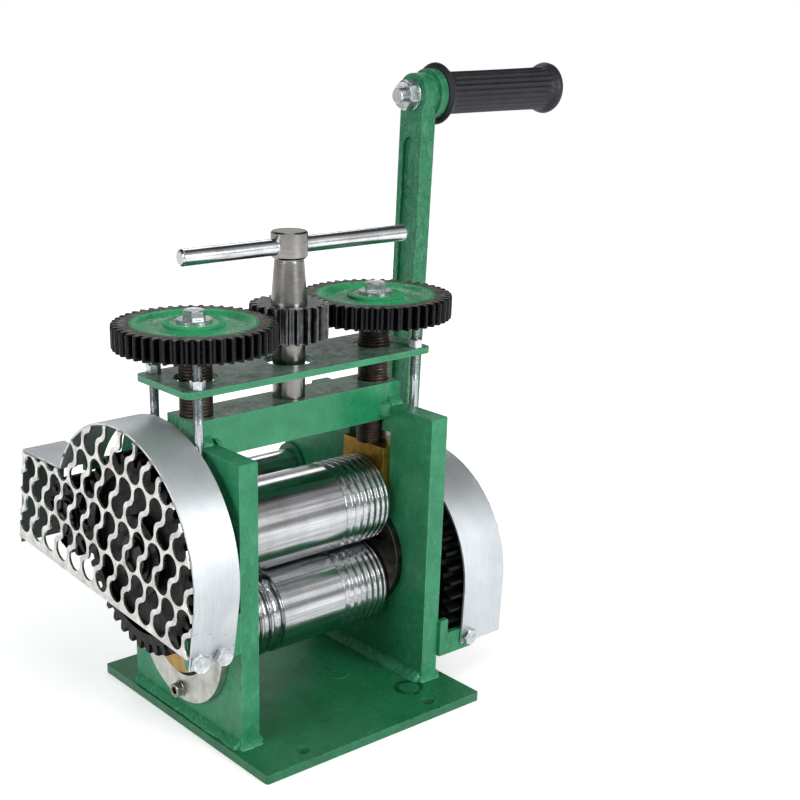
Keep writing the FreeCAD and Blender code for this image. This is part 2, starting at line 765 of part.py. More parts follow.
def screw_cap(sign):
    """Bolt and washer that hold a gear on its screw."""
    top = screw_gear_z + screw_gear_width
    washer = rod(Z, cap_washer_r, V(sign * screw_x, mill_y, top), cap_washer)
    head = hexagon(Z, cap_across, V(sign * screw_x, mill_y, top + cap_washer), cap_head)
    return washer.fuse([head, cap_bolt(sign)])


def spindle_pinion(angle):
    solid = gear(screw_module, spindle_teeth, angle, spindle_pinion_width, spindle_r)
    solid.translate(V(0, mill_y, spindle_pinion_z))
    return solid


def adjusting_spindle():
    foot = beam_top - spindle_foot
    pinion_top = spindle_pinion_z + spindle_pinion_width
    solid = rod(Z, spindle_r, V(0, mill_y, foot), spindle_pinion_z - foot)
    solid = solid.fuse(rod(Z, spindle_r, V(0, mill_y, spindle_pinion_z), spindle_pinion_width))
    neck = Part.makeCone(spindle_root_r, spindle_neck_r, spindle_head_z - spindle_groove - pinion_top,
                         V(0, mill_y, pinion_top), Z)
    waist = rod(Z, spindle_neck_r - spindle_groove, V(0, mill_y, spindle_head_z - spindle_groove),
                spindle_groove)
    head = rod(Z, spindle_head_r, V(0, mill_y, spindle_head_z), spindle_top_z - spindle_head_z)
    head = head.makeChamfer(spindle_chamfer, rim_at(head, spindle_top_z))
    head = head.makeChamfer(spindle_head_chamfer, rim_at(head, spindle_head_z))
    return solid.fuse([neck, waist, head]).cut(tommy_rod())


def tommy_rod():
    bar = rod(X, tommy_r, V(tommy_shift - tommy_length / 2, 0, tommy_z), tommy_length)
    bar = bar.makeChamfer(tommy_chamfer, [e for e in bar.Edges if isinstance(e.Curve, Part.Circle)])
    bar.rotate(V(0, 0, 0), Z, tommy_turn)
    bar.translate(V(0, mill_y, 0))
    return bar


# ---- idler --------------------------------------------------------------------------------------
def idler_axle():
    """Stub axle in the right plate, with a shoulder and a head on either side of the idler."""
    end = right_gear_x + gear_width + running
    axle = rod(X, idler_axle_r, V(inner_x, idler_y, idler_z), end - inner_x)
    shoulder = rod(X, idler_head_r, V(outer_x, idler_y, idler_z), right_gear_x - running - outer_x)
    head = rod(X, idler_head_r, V(end, idler_y, idler_z), idler_head)
    return axle.fuse([shoulder, head])


# ---- gear guards --------------------------------------------------------------------------------
class Guard:
    """A sheet metal guard: its side, size and outline in the YZ plane."""

    def __init__(self, sign, gap, depth, centre, radius, foot, rear_foot_z, arc_end, corners):
        self.sign = sign
        self.open_x = outer_x + gap
        self.face_x = outer_x + gap + depth
        self.centre = V(0, *centre)
        self.radius = radius
        self.foot = V(0, *foot)
        self.rear_foot_z = rear_foot_z
        self.arc_end = math.radians(arc_end)
        self.corners = corners

    def around(self, angle, radius):
        return self.centre + V(0, math.cos(angle), math.sin(angle)) * radius

    def front_angle(self):
        """Angle on the round top where the straight front joins it."""
        reach = self.foot - self.centre
        return math.atan2(reach.z, reach.y) - math.acos(self.radius / reach.Length)

    def outline(self, inset):
        """Closed wire, a distance inside the outer surface, from below the foot and round."""
        radius = self.radius - inset
        front = self.front_angle()
        outward = V(0, math.cos(front), math.sin(front))
        down = V(0, -outward.z, outward.y)
        touch = self.around(front, radius)
        drop = (self.foot - self.around(front, self.radius)).Length + below_guard
        start = touch + down * (drop if down.z < 0 else -drop)
        path = [self.around(self.arc_end, self.radius)] + self.corners
        lines = [inset_line(a, b, inset) for a, b in zip(path, path[1:])]
        arc_stop = on_circle(self.centre, radius, *lines[0])
        points = [arc_stop] + [crossing(*a, *b) for a, b in zip(lines, lines[1:])]
        last = lines[-1][1]
        points += [last, V(0, last.y, start.z), start]
        top = self.around((math.pi + self.arc_end) / 2, radius)
        edges = [Part.makeLine(start, touch), Part.Arc(touch, top, arc_stop).toShape()]
        edges += [Part.makeLine(a, b) for a, b in zip(points, points[1:])]
        return Part.Wire(edges)

    def slab(self, inset, x0, x1):
        """The outline as a solid between two distances from the middle, cut off along its foot."""
        solid = Part.Face(self.outline(inset)).extrude(V(x1 - x0, 0, 0))
        solid.translate(V(x0 if self.sign > 0 else -x1, 0, 0))
        return solid.cut(self.below(x0, x1))

    def below(self, x0, x1):
        """Everything under the line from the front foot to the rear foot."""
        front, rear = self.foot, V(0, self.corners[-1].y, self.rear_foot_z)
        run = (rear - front) * 0.5
        a, b = front - run, rear + run
        low = V(0, 0, -(self.radius * 2 + below_guard))
        solid = Part.Face(Part.makePolygon([a, b, b + low, a + low, a])).extrude(V(x1 - x0 + 2, 0, 0))
        solid.translate(V((x0 if self.sign > 0 else -x1) - 1, 0, 0))
        return solid

    def front_at(self, z):
        """Y of the outer surface of the straight front at a height."""
        angle = self.front_angle()
        return self.foot.y - math.tan(angle) * (z - self.foot.z)


def inset_line(a, b, inset):
    """Two points of a line moved to the inner side; outside is left of the way from a to b."""
    along = (b - a).normalize()
    shift = V(0, along.z, -along.y) * inset
    return a + shift, b + shift


def crossing(a, b, c, d):
    """Point where two lines in the YZ plane cross."""
    u, v = b - a, d - c
    t = ((c.y - a.y) * v.z - (c.z - a.z) * v.y) / (u.y * v.z - u.z * v.y)
    return a + u * t


def on_circle(centre, radius, a, b):
    """Point where the line from a to b leaves a circle, on a's side of its far crossing."""
    along = (b - a).normalize()
    middle = (centre - a).dot(along)
    foot = a + along * middle
    half = math.sqrt(max(radius ** 2 - (foot - centre).Length ** 2, 0))
    return min((foot + along * half, foot - along * half), key=lambda p: (p - a).Length)


def guards():
    below_left = guard_rear_foot_left - below_guard
    left_rear = V(0, guard_rear_y + guard_rear_lean, below_left)
    left = Guard(-1, guard_left_gap, guard_left_depth,
                 (mill_y + guard_left_shift_y, upper_z + guard_left_shift_z), guard_left_r,
                 (guard_left_foot_y, guard_left_foot), guard_rear_foot_left, guard_arc_end_left,
                 [V(0, guard_rear_y, guard_rear_top), left_rear])
    pinion_space = pinion_tip_r + guard_pinion_gap + guard_sheet
    top, rear = crank_z + pinion_space, crank_y + pinion_space
    right = Guard(1, guard_right_gap, guard_right_depth,
                  (mill_y + guard_right_shift_y, lower_z + guard_right_shift_z), guard_right_r,
                  (guard_right_foot_y, guard_right_foot), guard_rear_foot_right, guard_arc_end_right,
                  [V(0, crank_y - pinion_space / 2, top), V(0, rear - pinion_space / 3, top),
                   V(0, rear, top - pinion_space / 3), V(0, rear, guard_rear_foot_right - below_guard)])
    return left, right


def guard_bolt_places(guard):
    """Distance from the middle of each bolt through a guard's front foot."""
    if guard.sign < 0:
        return [guard.open_x + share * guard_left_depth for share in (0.29, 0.79)]
    return [(guard.open_x + right_lug_end) / 2]


def guard_bolt_z(guard):
    return guard.foot.z + guard_bolt_rise


def bolt_hole(guard, x, radius):
    start = V(guard.sign * x, guard.foot.y - lug_height, guard_bolt_z(guard))
    return rod(Y, radius, start, 2 * lug_height)


def guard_band(guard):
    inside = guard.face_x - guard_sheet
    band = guard.slab(0, guard.open_x, inside).cut(guard.slab(guard_sheet, guard.open_x - 1, inside + 1))
    for x in guard_bolt_places(guard):
        band = band.cut(bolt_hole(guard, x, guard_bolt_r + slack / 2))
    return band


def lobed_hole(y, z):
    """Two round lobes joined by a waist, in the plane of a guard's face."""
    centre, reach = V(0, y, z), math.hypot(guard_lobe_y, guard_lobe_z)
    up = V(0, guard_lobe_y, guard_lobe_z) / reach
    out = V(0, -up.z, up.y)
    bend = ((reach ** 2 + guard_hole_waist ** 2 - guard_hole_r ** 2)
            / (2 * (guard_hole_r - guard_hole_waist)))
    share = guard_hole_r / (guard_hole_r + bend)
    tip, narrow = up * (reach + guard_hole_r), out * guard_hole_waist
    rise, width = up * reach * (1 - share), out * (guard_hole_waist + bend) * share
    ends = [centre + rise + width, centre + rise - width, centre - rise - width, centre - rise + width]
    middles = [centre + tip, centre - narrow, centre - tip, centre + narrow]
    arcs = [Part.Arc(a, b, c) for a, b, c in zip(ends, middles, ends[1:] + ends[:1])]
    return Part.Wire([arc.toShape() for arc in arcs])


def guard_face(guard):
    """Perforated sheet across a guard's outer side."""
    inside = guard.face_x - guard_sheet
    rise = V(0, 0, guard_face_rise if guard.sign < 0 else 0)
    below = guard.below(inside, guard.face_x).translated(rise)
    face = guard.slab(0, inside, guard.face_x).cut(below)
    room = guard.slab(guard_hole_margin, inside, guard.face_x).cut(below)
    x = guard.sign * inside
    holes = []
    shaft_land = shaft_r + guard_hole_pitch_y
    reach = int(face.BoundBox.DiagonalLength / guard_hole_pitch_y)
    for i in range(-reach, reach):
        for j in range(-reach, reach):
            y = guard.centre.y + guard_hole_start_y + i * guard_hole_pitch_y + j * guard_hole_drift
            z = guard.centre.z + guard_hole_start_z + i * guard_hole_climb - j * guard_hole_pitch_z
            if not face.BoundBox.isInside(V(x + guard.sign * guard_sheet / 2, y, z)):
                continue
            hole = Part.Face(lobed_hole(y, z)).extrude(V(guard.sign * guard_sheet, 0, 0))
            hole.translate(V(x, 0, 0))
            near_shaft = guard.sign > 0 and math.hypot(y - crank_y, z - crank_z) < shaft_land
            if not near_shaft and hole.cut(room).Volume < 1e-3:
                holes.append(hole)
    face = face.cut(Part.makeCompound(holes))
    if guard.sign > 0:
        hole_r = shaft_r + guard_shaft_gap
        face = face.cut(span(1, hole_r, crank_y, crank_z, inside - 1, guard.face_x + 1))
    return face


def lug_front(guard):
    return guard.foot.y + guard_sheet + slack


def guard_lugs(guard):
    """Tabs welded to a side plate that carry its guard, at the front and at the rear."""
    low = guard.foot.z - (right_lug_drop if guard.sign > 0 else 0)
    front_y = lug_front(guard)
    end = right_lug_end if guard.sign > 0 else guard.face_x - guard_sheet - slack
    gear_z = lower_z if guard.sign > 0 else upper_z
    stop = gear_z - math.sqrt((gear_tip_r + 1) ** 2 - (mill_y - front_y - lug_thickness) ** 2)
    tab = side(guard.sign, outer_x, right_gear_x - 1, front_y, front_y + lug_thickness, low, low + lug_height)
    foot = side(guard.sign, right_gear_x - 1, end, front_y, front_y + lug_thickness, low, stop)
    front = tab.fuse(foot)
    rear = side(guard.sign, outer_x, guard.open_x + rear_lug_overlap, rear_lug_y - lug_thickness,
                rear_lug_y, crank_z + pinion_tip_r + rear_lug_gap, upper_z + guard_left_r)
    rear = rear.common(guard.slab(guard_sheet, outer_x - 1, guard.face_x))
    for x in guard_bolt_places(guard):
        front = front.cut(bolt_hole(guard, x, guard_bolt_r + slack / 2))
    return Part.makeCompound([front, rear])


def guard_bolts(both):
    """Hexagon bolts through the front feet, tapped into the lugs."""
    bolts = []
    for guard in both:
        z = guard_bolt_z(guard)
        head_y = guard.front_at(z + guard_bolt_across / 2) - guard_bolt_head
        back = lug_front(guard) + lug_thickness
        for x in guard_bolt_places(guard):
            shank = rod(Y, guard_bolt_r, V(guard.sign * x, head_y, z), back - head_y)
            head = hexagon(Y, guard_bolt_across, V(guard.sign * x, head_y, z), guard_bolt_head)
            bolts.append(head.fuse(shank))
    return Part.makeCompound(bolts)


# ---- everything on its place --------------------------------------------------------------------
sides = {"left": -1, "right": 1}
guard_pair = dict(zip(sides, guards()))

save("base_plate", base_plate())
save("top_beam", top_beam())
save("weld_beads", weld_beads())
save("top_plate", top_plate())
save("frame_studs", frame_studs())
save("stud_nuts", stud_nuts())
save("bearing_flange", bearing_flange())
save("flange_bolts", flange_bolts())
save("lift_springs", lift_springs())
save("guard_bolts", guard_bolts(guard_pair.values()))
save("idler_axle", idler_axle())
for name, sign in sides.items():
    save("side_plate_" + name, side_plate(sign))
    save("screw_nut_" + name, screw_nut(sign))
    save("lower_bush_" + name, lower_bush(sign))
    save("bearing_face_" + name, bearing_face_disc(sign))
    save("crank_shaft_bush_" + name, shaft_bush(sign))
    save("upper_bearing_block_" + name, upper_block(sign))
    save("upper_bush_" + name, upper_liner(sign))
    save("guard_band_" + name, guard_band(guard_pair[name]))
    save("guard_face_" + name, guard_face(guard_pair[name]))
    save("guard_lugs_" + name, guard_lugs(guard_pair[name]))

# Teeth are cut so that every pair meshes at rest. The crank pinions point a tooth to the front.
pinion_angle = math.pi
upper_angle = mesh_angle(pinion_angle, pinion_teeth, math.pi, roller_teeth)
idler_angle = mesh_angle(pinion_angle, pinion_teeth, idler_direction, idler_teeth)
lower_direction = math.atan2(lower_z - idler_z, mill_y - idler_y)
lower_angle = mesh_angle(idler_angle, idler_teeth, lower_direction, roller_teeth)

save("lower_roller", lower_roller())
save("lower_roller_gear",
     drive_gear(roller_teeth, lower_angle, gear_seat_r, right_gear_x, mill_y, lower_z, True))
save("upper_roller", upper_roller())
save("upper_roller_gear",
     drive_gear(roller_teeth, upper_angle, gear_seat_r, left_gear_x, mill_y, upper_z, True))
save("idler_gear", drive_gear(idler_teeth, idler_angle, idler_axle_r + running,
                              right_gear_x, idler_y, idler_z, False))
for name, x in (("left", left_gear_x), ("right", right_gear_x)):
    save("crank_pinion_" + name,
         drive_gear(pinion_teeth, pinion_angle, shaft_r, x, crank_y, crank_z, False))
save("crank_rings", Part.makeCompound([
    retaining_ring(-1, crank_y, crank_z, shaft_r, -left_gear_x),
    retaining_ring(1, crank_y, crank_z, shaft_r, right_gear_x + gear_width)]))
save("lower_roller_ring", retaining_ring(1, mill_y, lower_z, gear_seat_r, right_gear_x + gear_width))
save("upper_roller_ring", retaining_ring(-1, mill_y, upper_z, gear_seat_r, -left_gear_x))

save("crank_shaft", crank_shaft())
save("crank_arm", crank_arm())
save("arm_cross_pin", lean(cross_pin_rod()))
save("handle_pin", handle_pin())
save("handle_nut", handle_nut())
save("handle_grip", handle_grip())

save("adjusting_spindle", adjusting_spindle())
save("spindle_pinion", spindle_pinion(0))
save("tommy_bar", tommy_rod())
for name, sign in sides.items():
    toward = 0 if sign > 0 else math.pi
    save("pressure_screw_" + name, pressure_screw(sign))
    save("screw_gear_" + name, screw_gear(sign, mesh_angle(0, spindle_teeth, toward, screw_teeth)))
    save("screw_cap_" + name, screw_cap(sign))

for name, shape in nodes.items():
    shape.exportStep("parts/" + name + ".step")
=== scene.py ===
"""Looks of the jewellers rolling mill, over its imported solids. Lengths in the code are millimetres."""
import bmesh
import bpy
import math
import random
from mathutils import Matrix, Quaternion, Vector, noise


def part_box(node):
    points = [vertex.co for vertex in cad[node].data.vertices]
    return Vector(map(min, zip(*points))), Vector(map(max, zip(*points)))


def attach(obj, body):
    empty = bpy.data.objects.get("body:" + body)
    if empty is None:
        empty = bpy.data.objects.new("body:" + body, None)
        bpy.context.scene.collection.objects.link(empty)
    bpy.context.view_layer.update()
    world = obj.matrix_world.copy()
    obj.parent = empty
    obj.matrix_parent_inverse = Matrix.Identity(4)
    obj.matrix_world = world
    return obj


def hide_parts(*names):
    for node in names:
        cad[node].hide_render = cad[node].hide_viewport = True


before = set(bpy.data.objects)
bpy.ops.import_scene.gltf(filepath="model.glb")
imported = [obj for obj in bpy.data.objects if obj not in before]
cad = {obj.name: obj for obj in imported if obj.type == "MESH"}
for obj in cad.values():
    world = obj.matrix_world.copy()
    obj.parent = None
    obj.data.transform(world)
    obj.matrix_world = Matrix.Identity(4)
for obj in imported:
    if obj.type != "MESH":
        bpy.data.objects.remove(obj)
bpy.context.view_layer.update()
chance = random.Random(11)
MM = 0.001
same_point = 0.000005                    # metres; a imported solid's points that are nearer are one

# ---- dimensions that the pieces repeat from the solids -------------------------------------------
mill_y = 1.0
base_thickness = 6.0
plate_inner, plate_outer = 66.3, 79.3
plate_front, plate_back = -57.0, 61.0
plate_top = 185.0
beam_half, beam_bottom = 14.0, 175.5
crank_y, crank_z = 82.0, 120.8
crank_lean = math.radians(1.5)
screw_x = 68.0
screw_r = 10.0
screw_gear_width, screw_web_depth = 14.2, 4.0
nut_across = 8.0                         # of the studs' nuts
washer_r, washer_thickness = 5.2, 1.0    # of the flange's bolts
bolt_r, bolt_head = 3.0, 4.0             # shanks and heads of the flange's and the guards' bolts
guard_bolt_across = 10.0
cap_washer_r, cap_washer = 10.5, 2.0
cap_across, cap_head, cap_bolt_r = 12.0, 5.0, 4.0
guard_sheet = 1.5
GUARDS = {
    "left": dict(centre=(12.0, 119.5), radius=78.5, foot=(-59.0, 70.0), arc_end=27.0,
                 corners=[(131.0, 154.0), (143.8, 85.7)], rise=(6.5, 3.7)),
    "right": dict(centre=(13.0, 66.0), radius=75.5, foot=(-61.5, 26.0), arc_end=66.0,
                  corners=[(66.5, 151.8), (102.7, 151.8), (113.0, 141.5), (113.0, 44.0)],
                  rise=(0.0, 0.0)),
}
hole_r, hole_waist = 6.9, 3.9            # of a guard's holes: two round lobes joined by a waist
hole_lobe = Vector((-4.9, 7.0))          # from a hole's centre to its upper lobe's, (y, z)
hole_column, hole_row = Vector((16.25, 1.45)), Vector((3.6, -28.0))
hole_start = Vector((-38.3, 33.9))       # one hole, from the centre of the guard's round top

# ---- dimensions of the detail that only the scene has --------------------------------------------
lap = 0.1                                # by which touching parts of one piece overlap
thread_pitch, thread_depth, screw_neck_r = 2.0, 0.26, 6.9
stud_nut_bore, stud_washer_bore = 2.4, 2.0
washer_limit = 2.0                       # a thinner solid among the studs' nuts is a washer
flange_bolt_across, flange_bolt_bore = 8.6, 2.6
web_r = 35.25                            # of the sloping rims in the screw gears
grip_flutes, grip_bore_r, grip_bore = 24, 5.4, 9.0
pin_washer_r, pin_washer, pin_washer_bore = 9.8, 1.6, 6.0
pin_nut_bore, pin_nut_trim = 5.0, 2.0    # by the trim, the nut is narrower than its solid's box is high
inner_weld, outer_weld, front_weld, beam_weld = 5.2, 5.0, 2.8, 5.6
bead_step = 0.8
hole_wobble, hole_edge = 0.06, 0.55
foot_strip = 2.6                         # width left whole along the guards' feet
hole_margin = 5.0                        # a hole's centre is at most this far below the strip's edge
shaft_hole_r, shaft_margin_r = 13.0, 27.0
face_lap = 0.15                          # of the guards' faces into their bands
plug_place = (29.0, -16.0)

# ---- places where the finishes change ------------------------------------------------------------
oil_place, oil_ring_r = (54.0, -59.0), 8.5
web_edge, crust_edge = 37.0, 44.0        # radii of the screw gears' green web and rough rim
shaft_dark = (-84.0, -90.0)              # x between which the rollers and the crank shaft turn black
brass_dark_below = (116.0, 114.0)            # z between which the bearing blocks turn near-black towards the bottom
stud_thread = (200.0, 206.0)             # z between which the studs' threads begin
guard_foot, left_half = (100.0, 85.0), (0.0, -10.0)  # z and x between which the scratches begin
shaded_guard_back = (95.0, 110.0)               # y between which the guards' inside turns dark with painted shade


# ---- materials ----------------------------------------------------------------------------------
def paint(code):
    """Linear colour of an sRGB code."""
    parts = [int(code[i:i + 2], 16) / 255 for i in (1, 3, 5)]
    return tuple(c / 12.92 if c <= 0.04045 else ((c + 0.055) / 1.055) ** 2.4 for c in parts) + (1.0,)


def add_node(tree, kind, inputs=None, **settings):
    """New node with its settings; each input is set to a value or linked to a socket."""
    made = tree.nodes.new(kind)
    for key, value in settings.items():
        setattr(made, key, value)
    for key, value in (inputs or {}).items():
        if isinstance(value, bpy.types.NodeSocket):
            tree.links.new(value, made.inputs[key])
        else:
            made.inputs[key].default_value = value
    return made


class Finish:
    """A procedural material; its patterns follow the object's own coordinates."""

    def __init__(self, name, metallic=0.0, roughness=0.5, **sockets):
        self.material = bpy.data.materials.new(name)
        self.material.use_nodes = True
        self.tree = self.material.node_tree
        self.shader = self.tree.nodes["Principled BSDF"]
        self.shader.inputs["Metallic"].default_value = metallic
        self.shader.inputs["Roughness"].default_value = roughness
        for socket, value in sockets.items():
            self.shader.inputs[socket.replace("_", " ")].default_value = value
        self.where = self.node("ShaderNodeTexCoord")
        self.height = None

    def node(self, kind, inputs=None, **settings):
        return add_node(self.tree, kind, inputs, **settings)

    def at(self, stretch=(1, 1, 1), shift=(0, 0, 0)):
        return self.node("ShaderNodeMapping", {0: self.where.outputs["Object"], 1: shift,
                                               3: stretch}).outputs[0]

    def noise(self, size, detail, stretch=(1, 1, 1), rough=0.55, shift=(0, 0, 0)):
        """Cloudy pattern whose features are about that many millimetres."""
        return self.node("ShaderNodeTexNoise", {"Vector": self.at(stretch, shift), "Scale": 1 / (size * MM),
                                                "Detail": detail, "Roughness": rough}).outputs["Fac"]

    def spots(self, size, radius, stretch=(1, 1, 1)):
        """1 inside scattered round spots, 0 between them."""
        cells = self.node("ShaderNodeTexVoronoi", {"Vector": self.at(stretch), "Scale": 1 / (size * MM)})
        return self.sums("LESS_THAN", cells.outputs["Distance"], radius)

    def sums(self, operation, a, b):
        return self.node("ShaderNodeMath", {0: a, 1: b}, operation=operation).outputs[0]

    def range(self, value, low, high, to_low=0.0, to_high=1.0):
        return self.node("ShaderNodeMapRange", {0: value, 1: low, 2: high, 3: to_low, 4: to_high},
                         clamp=True).outputs[0]

    def clouds(self, size, detail, low, high, to_low=0.0, to_high=1.0, **pattern):
        """Noise whose part between low and high fills the whole range."""
        return self.range(self.noise(size, detail, **pattern), low, high, to_low, to_high)

    def mix(self, amount, a, b):
        """Colour b over colour a by an amount."""
        return self.node("ShaderNodeMix", {0: amount, 6: a, 7: b}, data_type="RGBA").outputs[2]

    def over(self, base, code, amount, *masks):
        """A colour over the base by an amount, less wherever a mask is below 1."""
        for mask in masks:
            amount = self.sums("MULTIPLY", amount, mask)
        return self.mix(amount, base, paint(code))

    def facing(self, axis):
        """How far the surface faces along one of the object's axes."""
        return self.node("ShaderNodeSeparateXYZ", {0: self.where.outputs["Normal"]}).outputs[axis]

    def along(self, axis):
        return self.node("ShaderNodeSeparateXYZ", {0: self.where.outputs["Object"]}).outputs[axis]

    def ramp(self, axis, start, end):
        """0 before one place along an axis and 1 beyond the other, in millimetres."""
        return self.range(self.along(axis), start * MM, end * MM)

    def reach(self, x, y):
        """Distance in metres from an upright axis."""
        total = None
        for axis, value in (("X", x), ("Y", y)):
            square = self.sums("POWER", self.sums("SUBTRACT", self.along(axis), value * MM), 2.0)
            total = square if total is None else self.sums("ADD", total, square)
        return self.sums("SQRT", total, 0.0)

    def edges(self, radius):
        """0 on open surface rising to 1 along edges."""
        soft = self.node("ShaderNodeBevel", {"Radius": radius * MM}, samples=6).outputs[0]
        hard = self.node("ShaderNodeNewGeometry").outputs["Normal"]
        same = self.node("ShaderNodeVectorMath", {0: soft, 1: hard}, operation="DOT_PRODUCT").outputs["Value"]
        return self.range(same, 0.99, 0.75)

    def colour(self, value):
        self.tree.links.new(value, self.shader.inputs["Base Color"])

    def rough(self, value):
        self.tree.links.new(value, self.shader.inputs["Roughness"])

    def bump(self, height, depth, strength=1.0):
        """Relief of that many millimetres, over any earlier one."""
        inputs = {"Height": height, "Distance": depth * MM, "Strength": strength}
        if self.height:
            inputs["Normal"] = self.height
        self.height = self.node("ShaderNodeBump", inputs).outputs[0]
        self.tree.links.new(self.height, self.shader.inputs["Normal"])


def enamel(name, dark, light, edge, peel=1.6, relief=0.12, gloss=0.3, speckle=0.0, mottle=0.0, oil=None):
    """Enamel with cloudy colour, brush marks, orange peel, paler edges, dust and a few chips.

    Speckle and mottle are the strengths of small spots and of blotches, and oil is where a ring of oil lies.
    """
    f = Finish(name, roughness=gloss, Specular_IOR_Level=0.32)
    base = f.mix(f.clouds(26, 4, 0.32, 0.68), paint(dark), paint(light))
    base = f.over(base, edge, f.clouds(1.1, 2, 0.25, 0.75), 0.14)
    base = f.over(base, edge, f.edges(1.4), f.clouds(5, 3, 0.3, 0.62), 0.75)
    base = f.over(base, "#a9dcc4", f.spots(7.5, 0.07), f.clouds(30, 2, 0.46, 0.62), 0.35)
    base = f.over(base, dark, f.clouds(3.0, 4, 0.35, 0.7, 0.0, 0.3, stretch=(1, 1, 0.12)))
    base = f.over(base, "#22382f", f.spots(9.0, 0.16), f.edges(2.2))
    if speckle:
        base = f.over(base, "#9fdcc0", f.spots(1.7, 0.28), f.clouds(7, 3, 0.4, 0.6), speckle)
        pits = f.spots(2.6, 0.25, (1, 1.1, 0.9))
        base = f.over(base, "#123a2a", pits, f.clouds(9, 3, 0.45, 0.6), speckle)
    if mottle:
        blotches = f.clouds(3.2, 5, 0.44, 0.6, 0.0, mottle, stretch=(1, 1, 0.6), rough=0.7)
        base = f.over(base, "#12563a", blotches)
        blotches = f.clouds(4.5, 4, 0.55, 0.7, 0.0, mottle, stretch=(1, 1, 0.5), shift=(4, 0, 2))
        base = f.over(base, edge, blotches)
    if oil:
        off = f.sums("ABSOLUTE", f.sums("SUBTRACT", f.reach(*oil), oil_ring_r * MM), 0.0)
        base = f.over(base, "#0b2c1e", f.range(off, 2.2 * MM, 1.2 * MM), f.clouds(9, 3, 0.36, 0.5), 0.8)
    f.colour(base)
    f.rough(f.clouds(8, 4, 0.3, 0.7, gloss - 0.08, gloss + 0.16))
    f.bump(f.noise(peel, 2), relief)
    f.bump(f.noise(14, 3), relief * 2.2, 0.6)
    return f


def metal(name, low, high, roughness, grain, stretch=(1, 1, 1), relief=0.01, stain=None, edge=None,
          cloud=18, far=None, dark_below=None):
    """Bare metal with grain lines, cloudy tone and an uneven polish.

    It may have stains, worn edges, a far end of another colour and, up to a height, a near-black lower part.
    """
    f = Finish(name, metallic=1.0, roughness=roughness)
    lines = f.noise(grain, 2, stretch)
    base = f.mix(f.clouds(cloud, 4, 0.3, 0.7), paint(low), paint(high))
    base = f.over(base, low, f.range(lines, 0.3, 0.7, 0.0, 0.2))
    if stain:
        base = f.over(base, stain, f.clouds(11, 5, 0.55, 0.75, 0.0, 0.5, shift=(3, 1, 2)))
    if edge:
        base = f.over(base, edge, f.edges(0.7))
    # near black below a height, darker towards the bottom
    if dark_below:
        base = f.over(base, "#23221f", f.ramp("Z", *dark_below))
    if far:
        base = f.over(base, far, f.ramp("X", *shaft_dark))
    f.colour(base)
    f.rough(f.range(lines, 0.25, 0.75, roughness - 0.06, roughness + 0.06))
    f.bump(lines, relief)
    return f


def oil_and_sheen_paint():
    """Enamel whose level tops are painted grey as a painted sheen, with dark blotches of old oil."""
    f = Finish("oil_and_sheen_paint", roughness=0.28, Specular_IOR_Level=0.5)
    side = f.mix(f.clouds(22, 4, 0.32, 0.68), paint("#168051"), paint("#2a9666"))
    side = f.over(side, "#74bf9c", f.edges(1.2), 0.6)
    # painted sheen: level tops coloured grey in place of a glossy top's reflection; the dark blotches over it
    # are old oil
    top = f.mix(f.clouds(16, 5, 0.3, 0.7), paint("#577a6d"), paint("#879c92"))
    top = f.over(top, "#2a4036", f.clouds(9, 5, 0.52, 0.62, stretch=(1, 1.4, 1), rough=0.65), 0.65)
    sheen_tops = f.sums("MULTIPLY", f.range(f.facing("Z"), 0.6, 0.9), f.range(f.edges(1.6), 0.5, 0.1))
    f.colour(f.mix(sheen_tops, side, top))
    f.rough(f.clouds(6, 4, 0.3, 0.7, 0.16, 0.42))
    f.bump(f.noise(1.8, 3), 0.14)
    f.bump(f.noise(12, 3), 0.4, 0.6)
    return f


def black_gear():
    """Blackened teeth, paler along their crests."""
    f = Finish("black_gear", roughness=0.4, Specular_IOR_Level=0.14)
    base = f.mix(f.clouds(7, 4, 0.3, 0.7), paint("#030404"), paint("#090a0b"))
    base = f.over(base, "#a6abb0", f.edges(0.6), f.clouds(3, 3, 0.3, 0.6, 0.1, 0.6), 0.25)
    f.colour(base)
    f.rough(f.clouds(4, 4, 0.3, 0.7, 0.24, 0.5))
    f.bump(f.noise(1.4, 3), 0.12)
    return f


def screw_gear_finish(name, x):
    """Black rim with a rough cast top, and a glossy green web and hub."""
    f = Finish(name, roughness=0.3, Specular_IOR_Level=0.2)
    reach = f.reach(x, mill_y)
    teeth = f.mix(f.clouds(5, 4, 0.3, 0.7), paint("#030404"), paint("#08090a"))
    teeth = f.over(teeth, "#8f959b", f.edges(0.6), 0.12)
    crust = f.mix(f.clouds(3.2, 5, 0.35, 0.65), paint("#2b2b2a"), paint("#65635e"))
    crust = f.over(crust, "#83807a", f.clouds(5, 4, 0.56, 0.66, shift=(2, 0, 1)))
    flat = f.sums("MULTIPLY", f.range(f.facing("Z"), 0.7, 0.95),
                  f.range(reach, (crust_edge + 0.8) * MM, crust_edge * MM))
    green = f.mix(f.clouds(14, 4, 0.3, 0.7), paint("#1b8a52"), paint("#38a56d"))
    green = f.over(green, "#6fcf9b", f.edges(1.3), 0.5)
    inside = f.range(reach, (web_edge + 0.4) * MM, web_edge * MM)
    f.colour(f.mix(inside, f.mix(flat, teeth, crust), green))
    matte = f.clouds(4, 4, 0.3, 0.7, 0.45, 0.75)
    gloss = f.clouds(6, 3, 0.3, 0.7, 0.14, 0.3)
    f.rough(f.node("ShaderNodeMix", {0: flat, 2: gloss, 3: matte}, data_type="FLOAT").outputs[0])
    f.bump(f.noise(1.6, 4), 0.16)
    f.bump(f.noise(9, 3), 0.3)
    return f


